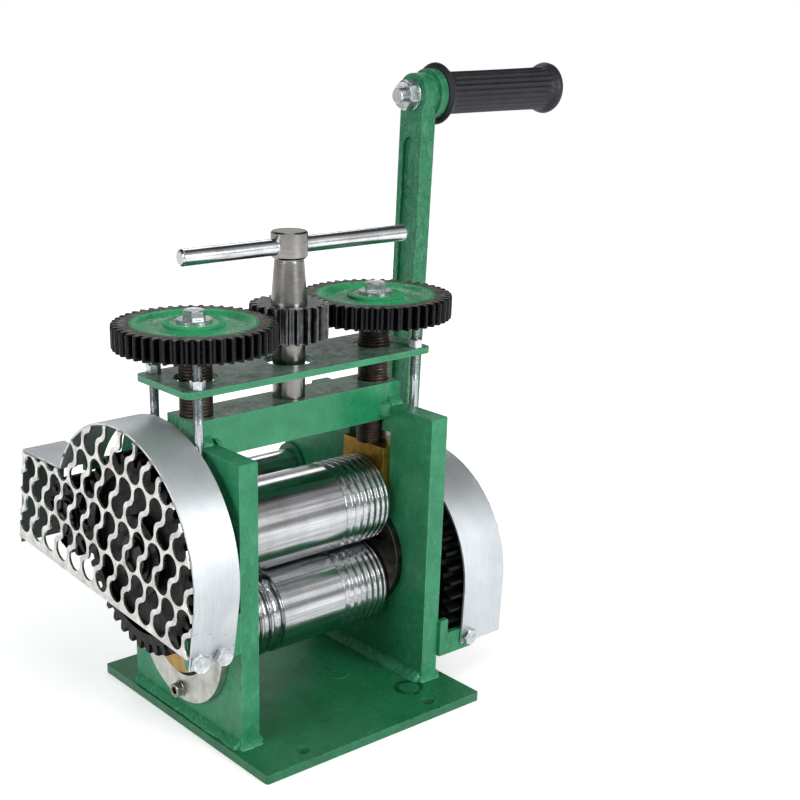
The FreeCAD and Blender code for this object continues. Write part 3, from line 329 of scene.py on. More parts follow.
def guard_sheet_finish():
    """Brushed aluminium with short scratches near the foot and painted shade on the inside at the back."""
    f = Finish("brushed_aluminium", metallic=0.72, roughness=0.5)
    lines = f.noise(0.6, 3, (1, 0.04, 0.04))
    base = f.mix(f.clouds(30, 4, 0.3, 0.7), paint("#c3c8cc"), paint("#dadee1"))
    base = f.over(base, "#a4a9ae", f.range(lines, 0.35, 0.7, 0.0, 0.25))
    scratches = f.clouds(2.2, 3, 0.63, 0.67, stretch=(0.3, 1, 1))
    base = f.over(base, "#6d7276", scratches, f.ramp("Z", *guard_foot), f.ramp("X", *left_half), 0.65)
    # painted shade: inside faces at the back of the band, facing forward, darkened
    base = f.over(base, "#2c3532", f.range(f.facing("Y"), -0.5, -0.8), f.ramp("Y", *shaded_guard_back), 0.85)
    f.colour(base)
    f.rough(f.range(lines, 0.3, 0.7, 0.4, 0.56))
    f.bump(lines, 0.015)
    f.bump(f.noise(34, 3), 0.5, 0.5)
    return f


def mesh_finish():
    """Pressed sheet, grimy in patches."""
    f = Finish("pressed_mesh", metallic=0.9, roughness=0.3)
    base = f.mix(f.clouds(6, 4, 0.3, 0.7), paint("#b2b1ac"), paint("#e4e3df"))
    base = f.over(base, "#5f5a54", f.clouds(9, 5, 0.56, 0.7, rough=0.7), 0.55)
    base = f.over(base, "#77736c", f.edges(0.5), 0.25)
    f.colour(base)
    f.rough(f.clouds(3, 3, 0.3, 0.7, 0.2, 0.42))
    f.bump(f.noise(2.2, 3), 0.12)
    return f


def rubber_finish():
    f = Finish("grip_rubber", roughness=0.42, Specular_IOR_Level=0.35)
    base = f.mix(f.clouds(9, 4, 0.3, 0.7), paint("#16171b"), paint("#222329"))
    base = f.over(base, "#44464d", f.edges(0.8), 0.25)
    f.colour(base)
    f.rough(f.clouds(1.2, 3, 0.3, 0.7, 0.42, 0.62))
    f.bump(f.noise(0.7, 2), 0.04)
    return f


def thread_finish():
    """Screw threads, brown with old oil and rust."""
    f = Finish("screw_thread", metallic=0.85, roughness=0.34)
    base = f.mix(f.clouds(5, 5, 0.3, 0.7), paint("#171413"), paint("#3f3732"))
    base = f.over(base, "#5a3b2a", f.clouds(4, 4, 0.55, 0.7, 0, 0.5, shift=(1, 2, 0)))
    base = f.over(base, "#8f857d", f.edges(0.3), 0.2)
    f.colour(base)
    f.rough(f.clouds(2, 3, 0.3, 0.7, 0.3, 0.58))
    f.bump(f.noise(0.9, 3), 0.06)
    return f


def stud_finish():
    """Bright studding: fine threads in relief along Z, about 0.8 mm apart."""
    f = metal("stud_thread", "#8a8f94", "#c4c8cc", 0.24, 1.5, (1, 1, 4), 0.004)
    wave = f.node("ShaderNodeTexWave", {"Vector": f.at(), "Scale": 0.4 / MM},
                  wave_type="BANDS", bands_direction="Z").outputs["Fac"]
    f.bump(f.sums("MULTIPLY", wave, f.ramp("Z", *stud_thread)), 0.25)
    return f


def roller_finish():
    """Ground and polished, with hair-fine lines round the roller, dark streaks along it painted as
    reflections, and a black far end.
    """
    f = Finish("polished_roller", metallic=1.0, roughness=0.17)
    lines = f.noise(0.35, 3, (1, 0.01, 0.01), 0.6)
    base = f.mix(f.range(lines, 0.35, 0.65), paint("#c0c1c5"), paint("#cdcfd2"))
    film = f.clouds(24, 4, 0.4, 0.7, 0, 0.4, stretch=(1, 0.5, 0.5))
    base = f.over(base, "#96938c", film)
    # painted reflection: dark streaks along the roller's axis
    painted_reflection_streaks = f.clouds(2.4, 4, 0.45, 0.62, 0, 0.5, stretch=(0.03, 1, 1), rough=0.65)
    base = f.over(base, "#6f7072", painted_reflection_streaks)
    base = f.over(base, "#17181a", f.ramp("X", *shaft_dark))
    f.colour(base)
    f.rough(f.range(lines, 0.3, 0.7, 0.15, 0.2))
    f.bump(lines, 0.0003)
    return f


plate_paint = enamel("plate_paint", "#1c7f52", "#35966b", "#7cc4a2", relief=0.2, mottle=0.18)
base_paint = enamel("base_paint", "#0f623a", "#18774b", "#6fbf99", relief=0.18, mottle=0.1, oil=oil_place)
# painted shade: a darker copy of the plate paint, for the crank shaft's bushes that sit in shade in the
# plates
shaded_plate_paint = enamel("shaded_plate_paint", "#12573a", "#1a6a48", "#3f9a74", relief=0.2)
arm_paint = enamel("arm_paint", "#1f7a50", "#318860", "#6cb893", peel=2.4, relief=0.55, gloss=0.26,
                   speckle=0.2, mottle=0.45)
# enamel with a painted sheen on its level tops
oil_and_sheen = oil_and_sheen_paint()
web_paint = enamel("web_paint", "#1b8a52", "#38a56d", "#8fd8b2", peel=3.4, relief=0.6, gloss=0.2)
black = black_gear()
pinion_steel = metal("pinion_steel", "#232425", "#5e6062", 0.34, 1.0, (1, 1, 0.1), 0.04,
                     stain="#101011", edge="#d2d4d6", cloud=5)
roller_steel = roller_finish()
shaft_steel = metal("shaft_steel", "#a9acb0", "#d0d3d6", 0.16, 0.5, (1, 0.02, 0.02), 0.002, far="#17181a")
turned_steel = metal("turned_steel", "#676562", "#93918d", 0.22, 0.45, (0.03, 0.03, 1), 0.003,
                     stain="#5c4d40", edge="#d8d6d2")
tommy_steel = metal("tommy_steel", "#a9abae", "#dcdee0", 0.2, 0.5, (1, 0.05, 0.05), 0.01, edge="#f0f0f0")
zinc = metal("zinc", "#a6abae", "#dee1e3", 0.3, 1.2, (1, 1, 1), 0.08, stain="#8b8f92", edge="#f2f3f4",
             cloud=4)
old_zinc = metal("old_zinc", "#5f5c56", "#aeaba3", 0.32, 1.2, (1, 1, 1), 0.1, stain="#2c2823",
                 edge="#d8d5cd", cloud=3)
flange_steel = metal("flange_steel", "#a6a7a1", "#d2d2cc", 0.38, 0.7, (1, 1, 1), 0.03, stain="#7a756c",
                     edge="#e6e6e2", cloud=9)
brass = metal("rough_brass", "#8a6a2c", "#b8923e", 0.42, 1.4, (1, 1, 1), 0.14, stain="#32260f",
              edge="#d2b468", cloud=4, dark_below=brass_dark_below)
bronze = metal("bronze", "#8a6a3a", "#c29b58", 0.28, 0.8, (1, 0.3, 0.3), 0.02, stain="#4d3a20")
# painted shade: the bearing faces' steel is made dark for the shade between the roller ends and the plates
shade_dark_steel = metal("shade_dark_steel", "#2c2b29", "#5c5a55", 0.34, 0.7, (1, 1, 1), 0.03, stain="#4a4026",
                  edge="#6a665c", cloud=9)
spring_steel = metal("spring_steel", "#5b5d60", "#9a9da0", 0.3, 0.6, (1, 1, 1), 0.01)
aluminium = guard_sheet_finish()
pressed = mesh_finish()
rubber = rubber_finish()
threads = thread_finish()
stud_steel = stud_finish()

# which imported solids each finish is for
FINISHES = {
    plate_paint: "side_plate_left side_plate_right guard_lugs_left guard_lugs_right",
    base_paint: "base_plate",
    shaded_plate_paint: "crank_shaft_bush_left crank_shaft_bush_right",
    oil_and_sheen: "top_plate top_beam screw_nut_left screw_nut_right",
    arm_paint: "crank_arm",
    black: "upper_roller_gear lower_roller_gear idler_gear crank_pinion_left crank_pinion_right "
           "crank_rings lower_roller_ring upper_roller_ring",
    pinion_steel: "spindle_pinion",
    roller_steel: "upper_roller lower_roller",
    shaft_steel: "crank_shaft handle_pin idler_axle",
    turned_steel: "adjusting_spindle",
    tommy_steel: "tommy_bar",
    zinc: "arm_cross_pin",
    flange_steel: "bearing_flange",
    brass: "upper_bearing_block_left upper_bearing_block_right",
    bronze: "lower_bush_left lower_bush_right upper_bush_left upper_bush_right",
    shade_dark_steel: "bearing_face_left bearing_face_right",
    spring_steel: "lift_springs",
    aluminium: "guard_band_left guard_band_right",
    stud_steel: "frame_studs",
    screw_gear_finish("screw_gear_left", -screw_x): "screw_gear_left",
    screw_gear_finish("screw_gear_right", screw_x): "screw_gear_right",
}


# ---- carried-over solids ------------------------------------------------------------------------
# width of the solids' rounded edges
ROUNDED = {"base_plate": 0.8, "side_plate_left": 1.0, "side_plate_right": 1.0, "top_plate": 0.7,
           "top_beam": 1.0, "crank_arm": 1.6, "upper_roller_gear": 0.45, "lower_roller_gear": 0.45,
           "idler_gear": 0.45, "crank_pinion_left": 0.45, "crank_pinion_right": 0.45,
           "spindle_pinion": 0.45, "screw_gear_left": 0.6, "screw_gear_right": 0.6,
           "upper_roller": 0.25, "lower_roller": 0.25, "adjusting_spindle": 0.5, "tommy_bar": 0.5,
           "guard_band_left": 0.35, "guard_band_right": 0.35, "guard_lugs_left": 0.7,
           "guard_lugs_right": 0.7, "bearing_flange": 0.6, "bearing_face_left": 0.5,
           "bearing_face_right": 0.5, "upper_bearing_block_left": 0.7, "upper_bearing_block_right": 0.7,
           "crank_shaft": 0.5, "handle_pin": 0.6}


def soften(obj, width):
    """Merge the facets of flat faces and round the edges."""
    obj.modifiers.new("weld", "WELD").merge_threshold = same_point
    flat = obj.modifiers.new("flat", "DECIMATE")
    flat.decimate_type, flat.angle_limit = "DISSOLVE", math.radians(1.0)
    bevel = obj.modifiers.new("edges", "BEVEL")
    bevel.width, bevel.segments = width * MM, 2
    bevel.limit_method, bevel.angle_limit = "ANGLE", math.radians(30)
    bevel.harden_normals = True
    bevel.use_clamp_overlap = True


def dress():
    """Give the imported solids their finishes, and those that show their edges rounded ones."""
    for finish, names in FINISHES.items():
        for name in names.split():
            obj = cad[name]
            obj.data.materials.clear()
            obj.data.materials.append(finish.material)
            if name in ROUNDED:
                for attribute in ("custom_normal", "sharp_edge"):
                    if attribute in obj.data.attributes:
                        obj.data.attributes.remove(obj.data.attributes[attribute])
                obj.data.polygons.foreach_set("use_smooth", [True] * len(obj.data.polygons))
                soften(obj, ROUNDED[name])


# ---- mesh pieces --------------------------------------------------------------------------------
# two directions across each axis, and the axis itself
AXES = {"X": (Vector((0, 1, 0)), Vector((0, 0, 1)), Vector((1, 0, 0))),
        "Y": (Vector((0, 0, 1)), Vector((1, 0, 0)), Vector((0, 1, 0))),
        "Z": (Vector((1, 0, 0)), Vector((0, 1, 0)), Vector((0, 0, 1)))}


def ring(centre, axis, along, radius, count=72):
    """Points round an axis; along and radius may be functions of the angle."""
    u, v, w = AXES[axis]
    points = []
    for i in range(count):
        a = 2 * math.pi * i / count
        r = radius(a) if callable(radius) else radius
        s = along(a) if callable(along) else along
        points.append(Vector(centre) + w * s + (u * math.cos(a) + v * math.sin(a)) * r)
    return points


def add_object(name, data):
    obj = bpy.data.objects.new(name, data)
    bpy.context.scene.collection.objects.link(obj)
    return obj


class Shape:
    """Mesh collected from rows of points."""

    def __init__(self):
        self.points, self.faces = [], []

    def rows(self, rows, caps=True):
        """Tube through closed rows of points, capped at both ends unless told otherwise."""
        start, width = len(self.points), len(rows[0])
        for row in rows:
            self.points += row
        for r in range(len(rows) - 1):
            a, b = start + r * width, start + (r + 1) * width
            for i in range(width):
                j = (i + 1) % width
                self.faces.append((a + i, a + j, b + j, b + i))
        if caps:
            self.faces.append(tuple(start + i for i in reversed(range(width))))
            self.faces.append(tuple(start + (len(rows) - 1) * width + i for i in range(width)))

    def turned(self, centre, axis, profile, count=72):
        """Solid of revolution from (along, radius) pairs."""
        self.rows([ring(centre, axis, s, r, count) for s, r in profile])

    def mesh(self, name, move=None):
        mesh = bpy.data.meshes.new(name)
        points = [move @ p for p in self.points] if move else self.points
        mesh.from_pydata([tuple(p * MM) for p in points], [], self.faces)
        return mesh

    def piece(self, name, body, finish, slot, *replaced, move=None, smooth=35):
        settle(self.mesh(name, move), name, body, finish, slot, *replaced, smooth=smooth)


def settle(mesh, name, body, finish, slot, *replaced, smooth):
    """Make a finished mesh a piece of the object, smooth up to an angle between faces."""
    made = bmesh.new()
    made.from_mesh(mesh)
    bmesh.ops.recalc_face_normals(made, faces=made.faces)
    made.to_mesh(mesh)
    made.free()
    mesh.polygons.foreach_set("use_smooth", [True] * len(mesh.polygons))
    mesh.set_sharp_from_angle(angle=math.radians(smooth))
    mesh.materials.clear()
    mesh.materials.append(finish.material)
    obj = add_object(name, mesh)
    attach(obj, body)
    if replaced:
        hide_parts(*replaced)


def middle(node):
    """Centre and box of a node."""
    lo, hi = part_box(node)
    return (lo + hi) / 2 / MM, lo / MM, hi / MM


def solid_centres(node):
    """Centre and box of each separate solid of a node."""
    made = bmesh.new()
    made.from_mesh(cad[node].data)
    bmesh.ops.remove_doubles(made, verts=made.verts, dist=same_point)
    left, found = set(made.verts), []
    while left:
        seed = left.pop()
        group, queue = [seed], [seed]
        while queue:
            for edge in queue.pop().link_edges:
                for other in edge.verts:
                    if other in left:
                        left.remove(other)
                        group.append(other)
                        queue.append(other)
        lo = Vector([min(v.co[k] for v in group) for k in range(3)]) / MM
        hi = Vector([max(v.co[k] for v in group) for k in range(3)]) / MM
        found.append(((lo + hi) / 2, lo, hi))
    made.free()
    return sorted(found, key=lambda g: tuple(round(c) for c in g[0]))


def hex_radius(across, turn):
    """Radius of a hexagon as a function of the angle, from its width across flats."""
    sixth = math.pi / 3
    return lambda a: across / 2 / math.cos((a - turn) % sixth - sixth / 2)


def hex_head(shape, centre, axis, sense, across, height, turn, bore=None):
    """Hexagon with its outer corners turned off at 30 degrees and a slightly dished top."""
    radius = hex_radius(across, turn)
    corner = across / 2 * 0.97
    dish = sense * (height - 0.25)

    def top(a):
        return sense * (height - max(0.0, radius(a) - corner) * 0.6)

    profile = [(0, lambda a: radius(a) - 0.25), (sense * 0.25, radius),
               (lambda a: top(a) - sense * 0.15, radius), (top, lambda a: radius(a) - 0.15),
               (sense * height, corner), (dish, corner * 0.82)]
    if bore:
        profile += [(dish, bore), (sense * 0.1, bore)]
    shape.turned(centre, axis, profile)


def washer(shape, centre, axis, sense, radius, thickness, bore=0.5):
    """Flat ring with a small round at its foot and a larger one at its face."""
    face = sense * thickness
    shape.turned(centre, axis, [(0, bore), (0, radius - 0.2), (sense * 0.2, radius),
                                (face - sense * 0.25, radius), (face, radius - 0.35), (face, bore)])


def thread(shape, centre, axis, start, length, radius, pitch, depth, count=40, steps=7):
    """Rod with a real helical thread, run out at both ends."""
    rows = [ring(centre, axis, start, radius - depth, count)]
    total = int(length / pitch * steps)
    for i in range(total + 1):
        s = start + length * i / total

        def radius_at(a, s=s):
            phase = (s / pitch - a / (2 * math.pi)) % 1.0
            rise = 1 - abs(phase * 2 - 1)
            fade = min(1.0, (s - start) / pitch, (start + length - s) / pitch)
            return radius - depth + depth * min(1.0, rise * 1.5) * max(fade, 0.0)

        rows.append(ring(centre, axis, s, radius_at, count))
    rows.append(ring(centre, axis, start + length, radius - depth, count))
    shape.rows(rows)


def stud_nuts():
    shape = Shape()
    for centre, lo, hi in solid_centres("stud_nuts"):
        place = (centre.x, centre.y, lo.z)
        height = hi.z - lo.z
        if height < washer_limit:
            washer(shape, place, "Z", 1, (hi.x - lo.x) / 2, height, stud_washer_bore)
        else:
            hex_head(shape, place, "Z", 1, nut_across, height, chance.uniform(0, 1), stud_nut_bore)
    shape.piece("dressed_stud_nuts", "root", zinc, "zinc", "stud_nuts")


def flange_bolts():
    shape = Shape()
    for centre, lo, hi in solid_centres("flange_bolts"):
        x = lo.x + bolt_head
        seat = (x, centre.y, centre.z)
        washer(shape, seat, "X", 1, washer_r, washer_thickness)
        hex_head(shape, seat, "X", -1, flange_bolt_across, bolt_head, chance.uniform(0, 1), flange_bolt_bore)
        shape.turned((0, centre.y, centre.z), "X", [(x + 0.5, bolt_r), (hi.x, bolt_r)], 32)
    shape.piece("dressed_flange_bolts", "root", old_zinc, "zinc", "flange_bolts")


def guard_bolts():
    shape = Shape()
    for centre, lo, hi in solid_centres("guard_bolts"):
        seat = lo.y + bolt_head
        hex_head(shape, (centre.x, seat, centre.z), "Y", -1, guard_bolt_across, bolt_head,
                 chance.uniform(0, 1))
        shape.turned((centre.x, 0, centre.z), "Y", [(seat - lap, bolt_r), (hi.y, bolt_r)], 32)
    shape.piece("dressed_guard_bolts", "root", zinc, "zinc", "guard_bolts")


def screw_caps():
    for name in ("left", "right"):
        node = "screw_cap_" + name
        centre, lo, hi = middle(node)
        top = hi.z - cap_head
        shape = Shape()
        washer(shape, (centre.x, centre.y, top - cap_washer), "Z", 1, cap_washer_r, cap_washer)
        hex_head(shape, (centre.x, centre.y, top), "Z", 1, cap_across, cap_head, chance.uniform(0, 1))
        shape.turned((centre.x, centre.y, 0), "Z", [(lo.z, cap_bolt_r), (top, cap_bolt_r)], 32)
        shape.piece("dressed_" + node, "screw_" + name, zinc, "zinc", node)


def pressure_screws():
    for name in ("left", "right"):
        node = "pressure_screw_" + name
        centre, lo, hi = middle(node)
        shoulder = hi.z - screw_gear_width
        foot = (centre.x, centre.y, 0)
        shape = Shape()
        thread(shape, foot, "Z", lo.z, shoulder - lo.z, screw_r, thread_pitch, thread_depth)
        shape.turned(foot, "Z", [(shoulder - 0.5, screw_neck_r), (hi.z, screw_neck_r)], 48)
        shape.piece("threaded_" + node, "screw_" + name, threads, "screw_steel", node)


def gear_webs():
    """Sloping rim and conical hub in the top of each screw gear, painted as one with its web."""
    for name in ("left", "right"):
        centre, lo, hi = middle("screw_gear_" + name)
        top, floor = hi.z, hi.z - screw_web_depth
        shape = Shape()
        shape.turned((centre.x, centre.y, 0), "Z",
                     [(floor - 0.3, 10.4), (top + 0.02, 10.4), (top + 0.02, 14.2), (top - 0.5, 15.6),
                      (top - 2.1, 18.6), (floor + 0.7, 20.6), (floor + 0.25, 22.6), (floor + 0.2, 29.0),
                      (floor + 0.8, 30.6), (top - 1.8, 33.4), (top - 0.4, 34.9), (top - 0.25, web_r),
                      (floor - 0.3, web_r)], 96)
        shape.piece("gear_web_" + name, "screw_" + name, web_paint, "green_enamel")


def leaned():
    """Matrix that turns a piece of the crank to its rest lean."""
    place = Matrix.Translation(Vector((0, crank_y, crank_z)))
    return place @ Matrix.Rotation(crank_lean, 4, "X") @ place.inverted()


def grip_profile(length):
    """(along, radius, depth of the flutes) of the grip: a collar, a slowly widening middle and a bead."""
    middle_from, steps = 14, 24
    middle_length = length - 2 * middle_from
    profile = [(0, 6.6, 0), (0, 17.0, 0), (0.8, 19.4, 0), (2.2, 20.2, 0), (3.8, 19.2, 0), (5.4, 16.6, 0),
               (7.5, 14.8, 0.1), (9.5, 14.2, 0.5), (12, 14.0, 0.8)]
    for i in range(steps + 1):
        x = middle_from + middle_length * i / steps
        profile.append((x, 13.9 + 0.5 * ((x - middle_from) / middle_length) ** 2, 0.85))
    ending = [(11, 14.5, 0.6), (9, 14.9, 0.2), (7.6, 15.8, 0), (6, 17.0, 0), (4, 17.5, 0), (2, 17.0, 0),
              (0.7, 15.2, 0), (0.15, 12.5, 0), (0, 6.0, 0)]
    return profile + [(length - before, r, depth) for before, r, depth in ending]


def handle():
    centre, lo, hi = middle("handle_grip")
    centre = leaned().inverted() @ centre
    start, end = lo.x, hi.x
    centre.x = 0
    count = grip_flutes * 8

    def fluted(radius, depth):
        return lambda a: radius - depth * (0.5 + 0.5 * math.cos(a * grip_flutes)) ** 0.6

    rows = [ring(centre, "X", s, grip_bore_r, count) for s in (start + grip_bore, start)]
    rows += [ring(centre, "X", start + s, fluted(r, depth), count)
             for s, r, depth in grip_profile(end - start)]
    shape = Shape()
    shape.rows(rows)
    shape.piece("fluted_grip", "grip", rubber, "grip_rubber", "handle_grip", move=leaned(), smooth=50)

    centre, lo, hi = middle("handle_nut")
    centre = leaned().inverted() @ centre
    under = pin_washer - lap
    nut = Shape()
    washer(nut, (hi.x, centre.y, centre.z), "X", -1, pin_washer_r, pin_washer, pin_washer_bore)
    hex_head(nut, (hi.x - under, centre.y, centre.z), "X", -1, hi.z - lo.z - pin_nut_trim,
             hi.x - lo.x - under, 0.3, pin_nut_bore)
    nut.piece("dressed_handle_nut", "crank", zinc, "zinc", "handle_nut", move=leaned())


def bead(shape, start, end, a, b, leg, seed, wave):
    """Weld bead in a corner: overlapping scales along it, swollen at its ends."""
    start, end, a, b = Vector(start), Vector(end), Vector(a), Vector(b)
    length = (end - start).length
    count = max(int(length / bead_step), 4)
    rows = []
    for i in range(count + 1):
        t = i / count
        s = t * length
        scale = abs(math.sin(math.pi * (s / wave + 0.6 * noise.noise(Vector((s * 0.1, seed, 0))))))
        size = leg * (0.92 + 0.06 * scale + 0.22 * noise.noise(Vector((s * 0.09, seed, 5.0))))
        ends = min(1.0, 0.35 + s / (leg * 0.5), 0.35 + (length - s) / (leg * 0.5))
        size *= max(0.2, min(1.0, ends))
        place = start.lerp(end, t)
        row = [place - (a + b) * 0.6]
        for k in range(9):
            angle = math.pi / 2 * k / 8
            lump = 1 + 0.1 * noise.noise(Vector((s * 0.35, k * 0.6, seed)))
            bulge = (1 - 0.18 * math.sin(2 * angle)) * lump
            row.append(place + (a * math.cos(angle) + b * math.sin(angle)) * size * bulge)
        rows.append(row)
    shape.rows(rows)


def welds():
    """Beads along the plates' feet and fronts, and where the beam crosses the plates."""
    shape = Shape()
    seed = 1.0

    def run(start, end, a, b, leg, wave=4.2):
        nonlocal seed
        bead(shape, start, end, a, b, leg, seed, wave)
        seed += 3.7

    foot, up = base_thickness, (0, 0, 1)
    for sign in (-1, 1):
        inner, outer = sign * plate_inner, sign * plate_outer
        for x, out, leg in ((inner, -sign, inner_weld), (outer, sign, outer_weld)):
            run((x, plate_front + 0.5, foot), (x, plate_back - 0.5, foot), (out, 0, 0), up, leg)
        run((inner - sign * 2, plate_front, foot), (outer + sign * 2, plate_front, foot),
            (0, -1, 0), up, front_weld, 6.0)
        for out in (-1, 1):
            y = mill_y + out * beam_half
            run((inner + sign * 0.6, y, plate_top), (outer - sign * 0.6, y, plate_top),
                (0, out, 0), up, beam_weld)
            run((inner, y, beam_bottom + 1), (inner, y, plate_top + 2.5),
                (0, out, 0), (-sign, 0, 0), beam_weld)
    shape.piece("weld_runs", "root", plate_paint, "green_enamel", "weld_beads", smooth=60)


def guard_outline(guard, inset):
    """(y, z) outline of a guard's face, a distance inside its outer surface."""
    cy, cz = guard["centre"]
    fy, fz = guard["foot"]
    reach = math.hypot(fy - cy, fz - cz)
    front = math.atan2(fz - cz, fy - cy) - math.acos(guard["radius"] / reach)
    first, last = front % (2 * math.pi), math.radians(guard["arc_end"])
    out = [(cy + guard["radius"] * math.cos(first + (last - first) * i / 60),
            cz + guard["radius"] * math.sin(first + (last - first) * i / 60)) for i in range(61)]
    out += guard["corners"]
    front_rise, rear_rise = guard["rise"]
    ry, rz = out.pop()
    py, pz = out[-1]
    share = rear_rise / (pz - rz)
    out.append((ry + (py - ry) * share, rz + rear_rise))
    ty, tz = out[0]
    share = front_rise / (tz - fz)
    out.insert(0, (fy + (ty - fy) * share, fz + front_rise))
    moved = []
    for i, (y, z) in enumerate(out):
        before, after = Vector(out[i - 1]), Vector(out[(i + 1) % len(out)])
        here = Vector((y, z))
        a, b = (here - before).normalized(), (after - here).normalized()
        normal = Vector((a.y + b.y, -a.x - b.x)).normalized()
        grow = inset / max(0.3, normal.dot(Vector((a.y, -a.x))))
        moved.append(here + normal * grow)
    return moved


def hole_outline(centre, wobble):
    """Two round lobes joined by a waist, a little uneven."""
    half = hole_lobe.length
    up = hole_lobe.normalized()
    out = Vector((-up.y, up.x))
    bend = (half ** 2 + hole_waist ** 2 - hole_r ** 2) / (2 * (hole_r - hole_waist))
    aside = hole_waist + bend
    tilt = math.atan2(half, aside)
    local = []
    for sense in (1, -1):
        for k in range(17):
            t = -tilt + (math.pi + 2 * tilt) * k / 16
            local.append((sense * hole_r * math.cos(t), sense * (half + hole_r * math.sin(t))))
        for k in range(1, 6):
            t = tilt - 2 * tilt * k / 6
            local.append((sense * (bend * math.cos(t) - aside), sense * bend * math.sin(t)))
    points = []
    for x, y in local:
        grow = 1 + wobble * noise.noise(Vector((x * 0.12 + centre.x, y * 0.12 + centre.y, 0)))
        points.append(centre + (out * x + up * y) * grow)
    return points


def hole_centres(guard):
    """Lattice of holes over a whole guard and beyond, slanting up to the rear."""
    first = Vector(guard["centre"]) + hole_start
    return [first + hole_column * i + hole_row * j for i in range(-9, 13) for j in range(-5, 8)]


def prism(bm, outline, x0, x1):
    """Block between two places along X, from its (y, z) outline."""
    low = [bm.verts.new((x0 * MM, y * MM, z * MM)) for y, z in outline]
    high = [bm.verts.new((x1 * MM, y * MM, z * MM)) for y, z in outline]
    bm.faces.new(low)
    bm.faces.new(list(reversed(high)))
    for i in range(len(low)):
        j = (i + 1) % len(low)
        bm.faces.new((low[i], high[i], high[j], low[j]))


def filled(name, fill):
    """Temporary object made by a function that fills a bmesh."""
    bm = bmesh.new()
    fill(bm)
    bmesh.ops.recalc_face_normals(bm, faces=bm.faces)
    mesh = bpy.data.meshes.new(name)
    bm.to_mesh(mesh)
    bm.free()
    return add_object(name, mesh)


def guard_holes(bm, name, guard, x0, x1):
    """Everything that is cut out of a guard's face."""
    (fy, fz), (ry, rz) = guard["foot"], guard["corners"][-1]
    low, high = fz + guard["rise"][0], rz + guard["rise"][1]

    def strip_top(y):
        return low + (high - low) * (y - fy) / (ry - fy) + foot_strip

    for centre in hole_centres(guard):
        near_shaft = name == "right" and math.hypot(centre.x - crank_y, centre.y - crank_z) < shaft_margin_r
        if near_shaft or centre.y < strip_top(centre.x) - hole_margin:
            continue
        outline = [(p.x, max(p.y, strip_top(p.x))) for p in hole_outline(centre, hole_wobble)]
        prism(bm, outline, x0, x1)
    if name == "right":
        turns = [k * math.pi / 24 for k in range(48)]
        prism(bm, [(crank_y + shaft_hole_r * math.cos(t), crank_z + shaft_hole_r * math.sin(t))
                   for t in turns], x0, x1)


def guard_faces():
    for name, guard in GUARDS.items():
        node = "guard_face_" + name
        centre, lo, hi = middle(node)
        outline = guard_outline(guard, guard_sheet - face_lap)
        sheet = filled("sheet", lambda bm: prism(bm, outline, lo.x, hi.x))
        cutter = filled("cutter", lambda bm: guard_holes(bm, name, guard, lo.x - 1, hi.x + 1))
        cut = sheet.modifiers.new("cut", "BOOLEAN")
        cut.object, cut.operation, cut.solver = cutter, "DIFFERENCE", "EXACT"
        bevel = sheet.modifiers.new("edges", "BEVEL")
        bevel.width, bevel.segments, bevel.limit_method = hole_edge * MM, 3, "ANGLE"
        bevel.angle_limit = math.radians(50)
        bpy.context.view_layer.update()
        mesh = bpy.data.meshes.new_from_object(sheet.evaluated_get(bpy.context.evaluated_depsgraph_get()))
        bpy.data.objects.remove(sheet)
        bpy.data.objects.remove(cutter)
        settle(mesh, "perforated_" + node, "root", pressed, "guard_mesh", node, smooth=40)


def base_patch():
    """Painted-over plug in the base."""
    shape = Shape()
    shape.turned((*plug_place, base_thickness), "Z",
                 [(-0.5, 7.0), (0.15, 6.8), (0.4, 6.2), (0.45, 5.4), (0.2, 4.4), (0.25, 0.5)], 48)
    shape.piece("base_plug", "root", base_paint, "green_enamel")


dress()
stud_nuts()
flange_bolts()
guard_bolts()
screw_caps()
pressure_screws()
gear_webs()
handle()
welds()
guard_faces()
base_patch()


# ---- stage, light and camera, in metres ----------------------------------------------------------
FLOOR_RINGS = (2600, 1400, 700, 1)       # millimetres
FLOOR_COLOUR, FLOOR_ROUGHNESS = (0.82, 0.82, 0.82, 1), 0.9
GLOW_REACH, GLOW = (0.15, 0.9), (0.55, 1.0)
WORLD_COLOUR, WORLD_STRENGTH = (0.9, 0.95, 1.0, 1), 0.13
WHITE = (1, 1, 1, 1)
# brightness round the studio, from straight in front (0) over the top (0.5) to straight behind (1)
STUDIO = [(0.0, 0.8), (0.025, 0.22), (0.07, 0.28), (0.1, 1.0), (0.17, 1.0), (0.21, 0.45), (0.25, 0.9),
          (0.29, 0.35), (0.33, 0.55), (0.38, 0.12), (0.5, 0.05), (0.74, 0.05), (0.84, 0.4), (0.92, 0.55),
          (1.0, 0.7)]
LAMPS = [("key", (0.35, -1.6, 0.75), (0, 0, 0.15), 0.7, 20),      # name, place, target, size, watts
         ("top", (-0.2, -0.3, 1.6), (0, 0, 0.1), 0.9, 3),
         ("left", (-1.5, -0.1, 0.75), (0, 0, 0.2), 0.7, 11),
         ("back", (0.8, 1.1, 1.5), (0, 0, 0.15), 0.9, 6)]
CAMERA_PLACE, CAMERA_FORWARD = (-0.496544, -0.642251, 0.426753), (0.5667, 0.7334, -0.3754)
CAMERA_ROLL = math.radians(0.187)
CAMERA_SENSOR, CAMERA_LENS, CAMERA_SHIFT = 36.0, 61.732, (0.1389, 0.1863)


def clean_ray(tree):
    """1 for rays from the camera or mirrored or refracted to it."""
    path = add_node(tree, "ShaderNodeLightPath").outputs
    total = path["Is Camera Ray"]
    for name in ("Is Glossy Ray", "Is Transmission Ray"):
        total = add_node(tree, "ShaderNodeMath", {0: total, 1: path[name]},
                         operation="ADD", use_clamp=True).outputs[0]
    return total


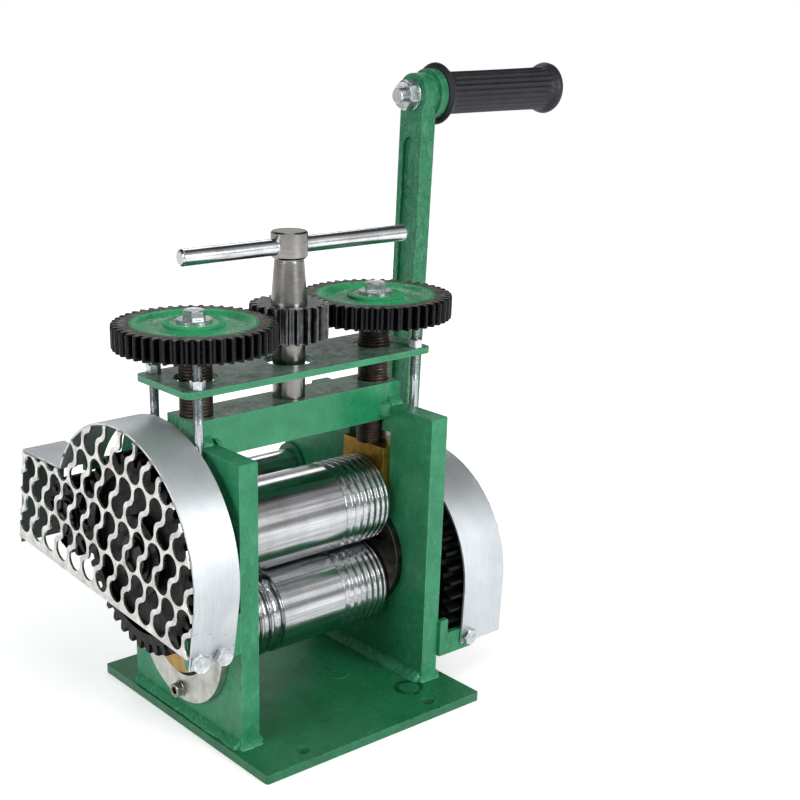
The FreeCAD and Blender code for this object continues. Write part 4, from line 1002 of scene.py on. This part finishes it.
def stage():
    """Floor that takes shadows and, for the camera, glows up to white away from the mill."""
    floor = Shape()
    floor.rows([ring((0, 0, 0), "Z", -0.02, r, 96) for r in FLOOR_RINGS], caps=False)
    mesh = floor.mesh("floor")
    obj = add_object("floor", mesh)
    f = Finish("floor", roughness=FLOOR_ROUGHNESS, Base_Color=FLOOR_COLOUR)
    away = f.node("ShaderNodeVectorMath", {0: f.where.outputs["Object"]}, operation="LENGTH").outputs["Value"]
    strength = f.sums("MULTIPLY", clean_ray(f.tree), f.range(away, *GLOW_REACH, *GLOW))
    glow = f.node("ShaderNodeEmission", {"Strength": strength})
    both = f.node("ShaderNodeAddShader", {0: f.shader.outputs[0], 1: glow.outputs[0]})
    f.tree.links.new(both.outputs[0], f.tree.nodes["Material Output"].inputs["Surface"])
    mesh.materials.append(f.material)


def studio(tree):
    """What mirrored rays see of the studio: bright in front, dark overhead and grey behind."""
    way = add_node(tree, "ShaderNodeTexCoord").outputs["Generated"]
    split = add_node(tree, "ShaderNodeSeparateXYZ", {0: way}).outputs
    front = add_node(tree, "ShaderNodeMath", {0: split["Y"], 1: -1.0}, operation="MULTIPLY").outputs[0]
    angle = add_node(tree, "ShaderNodeMath", {0: split["Z"], 1: front}, operation="ARCTAN2").outputs[0]
    share = add_node(tree, "ShaderNodeMath", {0: angle, 1: math.pi}, operation="DIVIDE").outputs[0]
    ramp = add_node(tree, "ShaderNodeValToRGB", {0: share})
    stops = ramp.color_ramp.elements
    while len(stops) < len(STUDIO):
        stops.new(0.5)
    for stop, (place, shade) in zip(stops, STUDIO):
        stop.position = place
    for stop, (place, shade) in zip(stops, STUDIO):
        stop.color = (shade, shade, shade, 1)
    return ramp.outputs[0]


def light():
    """Dim world that fills the shadows, white to the camera and the studio to mirrored rays; four lamps."""
    world = bpy.data.worlds.new("studio")
    bpy.context.scene.world = world
    world.use_nodes = True
    tree = world.node_tree
    dim = tree.nodes["Background"]
    dim.inputs["Color"].default_value = WORLD_COLOUR
    dim.inputs["Strength"].default_value = WORLD_STRENGTH
    mirrored = add_node(tree, "ShaderNodeLightPath").outputs["Is Glossy Ray"]
    tint = add_node(tree, "ShaderNodeMix", {0: mirrored, 6: WHITE, 7: studio(tree)}, data_type="RGBA")
    seen = add_node(tree, "ShaderNodeBackground", {"Color": tint.outputs[2], "Strength": 1.0})
    both = add_node(tree, "ShaderNodeMixShader", {0: clean_ray(tree), 1: dim.outputs[0], 2: seen.outputs[0]})
    tree.links.new(both.outputs[0], tree.nodes["World Output"].inputs["Surface"])
    for name, place, target, size, watts in LAMPS:
        data = bpy.data.lights.new(name, "AREA")
        data.size, data.energy = size, watts
        lamp = add_object(name, data)
        lamp.location = place
        lamp.rotation_euler = (Vector(target) - Vector(place)).to_track_quat("-Z", "Y").to_euler()


def camera():
    data = bpy.data.cameras.new("camera")
    data.sensor_width, data.lens = CAMERA_SENSOR, CAMERA_LENS
    data.shift_x, data.shift_y = CAMERA_SHIFT
    obj = add_object("camera", data)
    obj.location = CAMERA_PLACE
    obj.rotation_mode = "QUATERNION"
    facing = Vector(CAMERA_FORWARD).to_track_quat("-Z", "Y")
    obj.rotation_quaternion = facing @ Quaternion((0, 0, 1), CAMERA_ROLL)
    bpy.context.scene.camera = obj


stage()
light()
camera()
bpy.context.scene.view_settings.view_transform = "Standard"
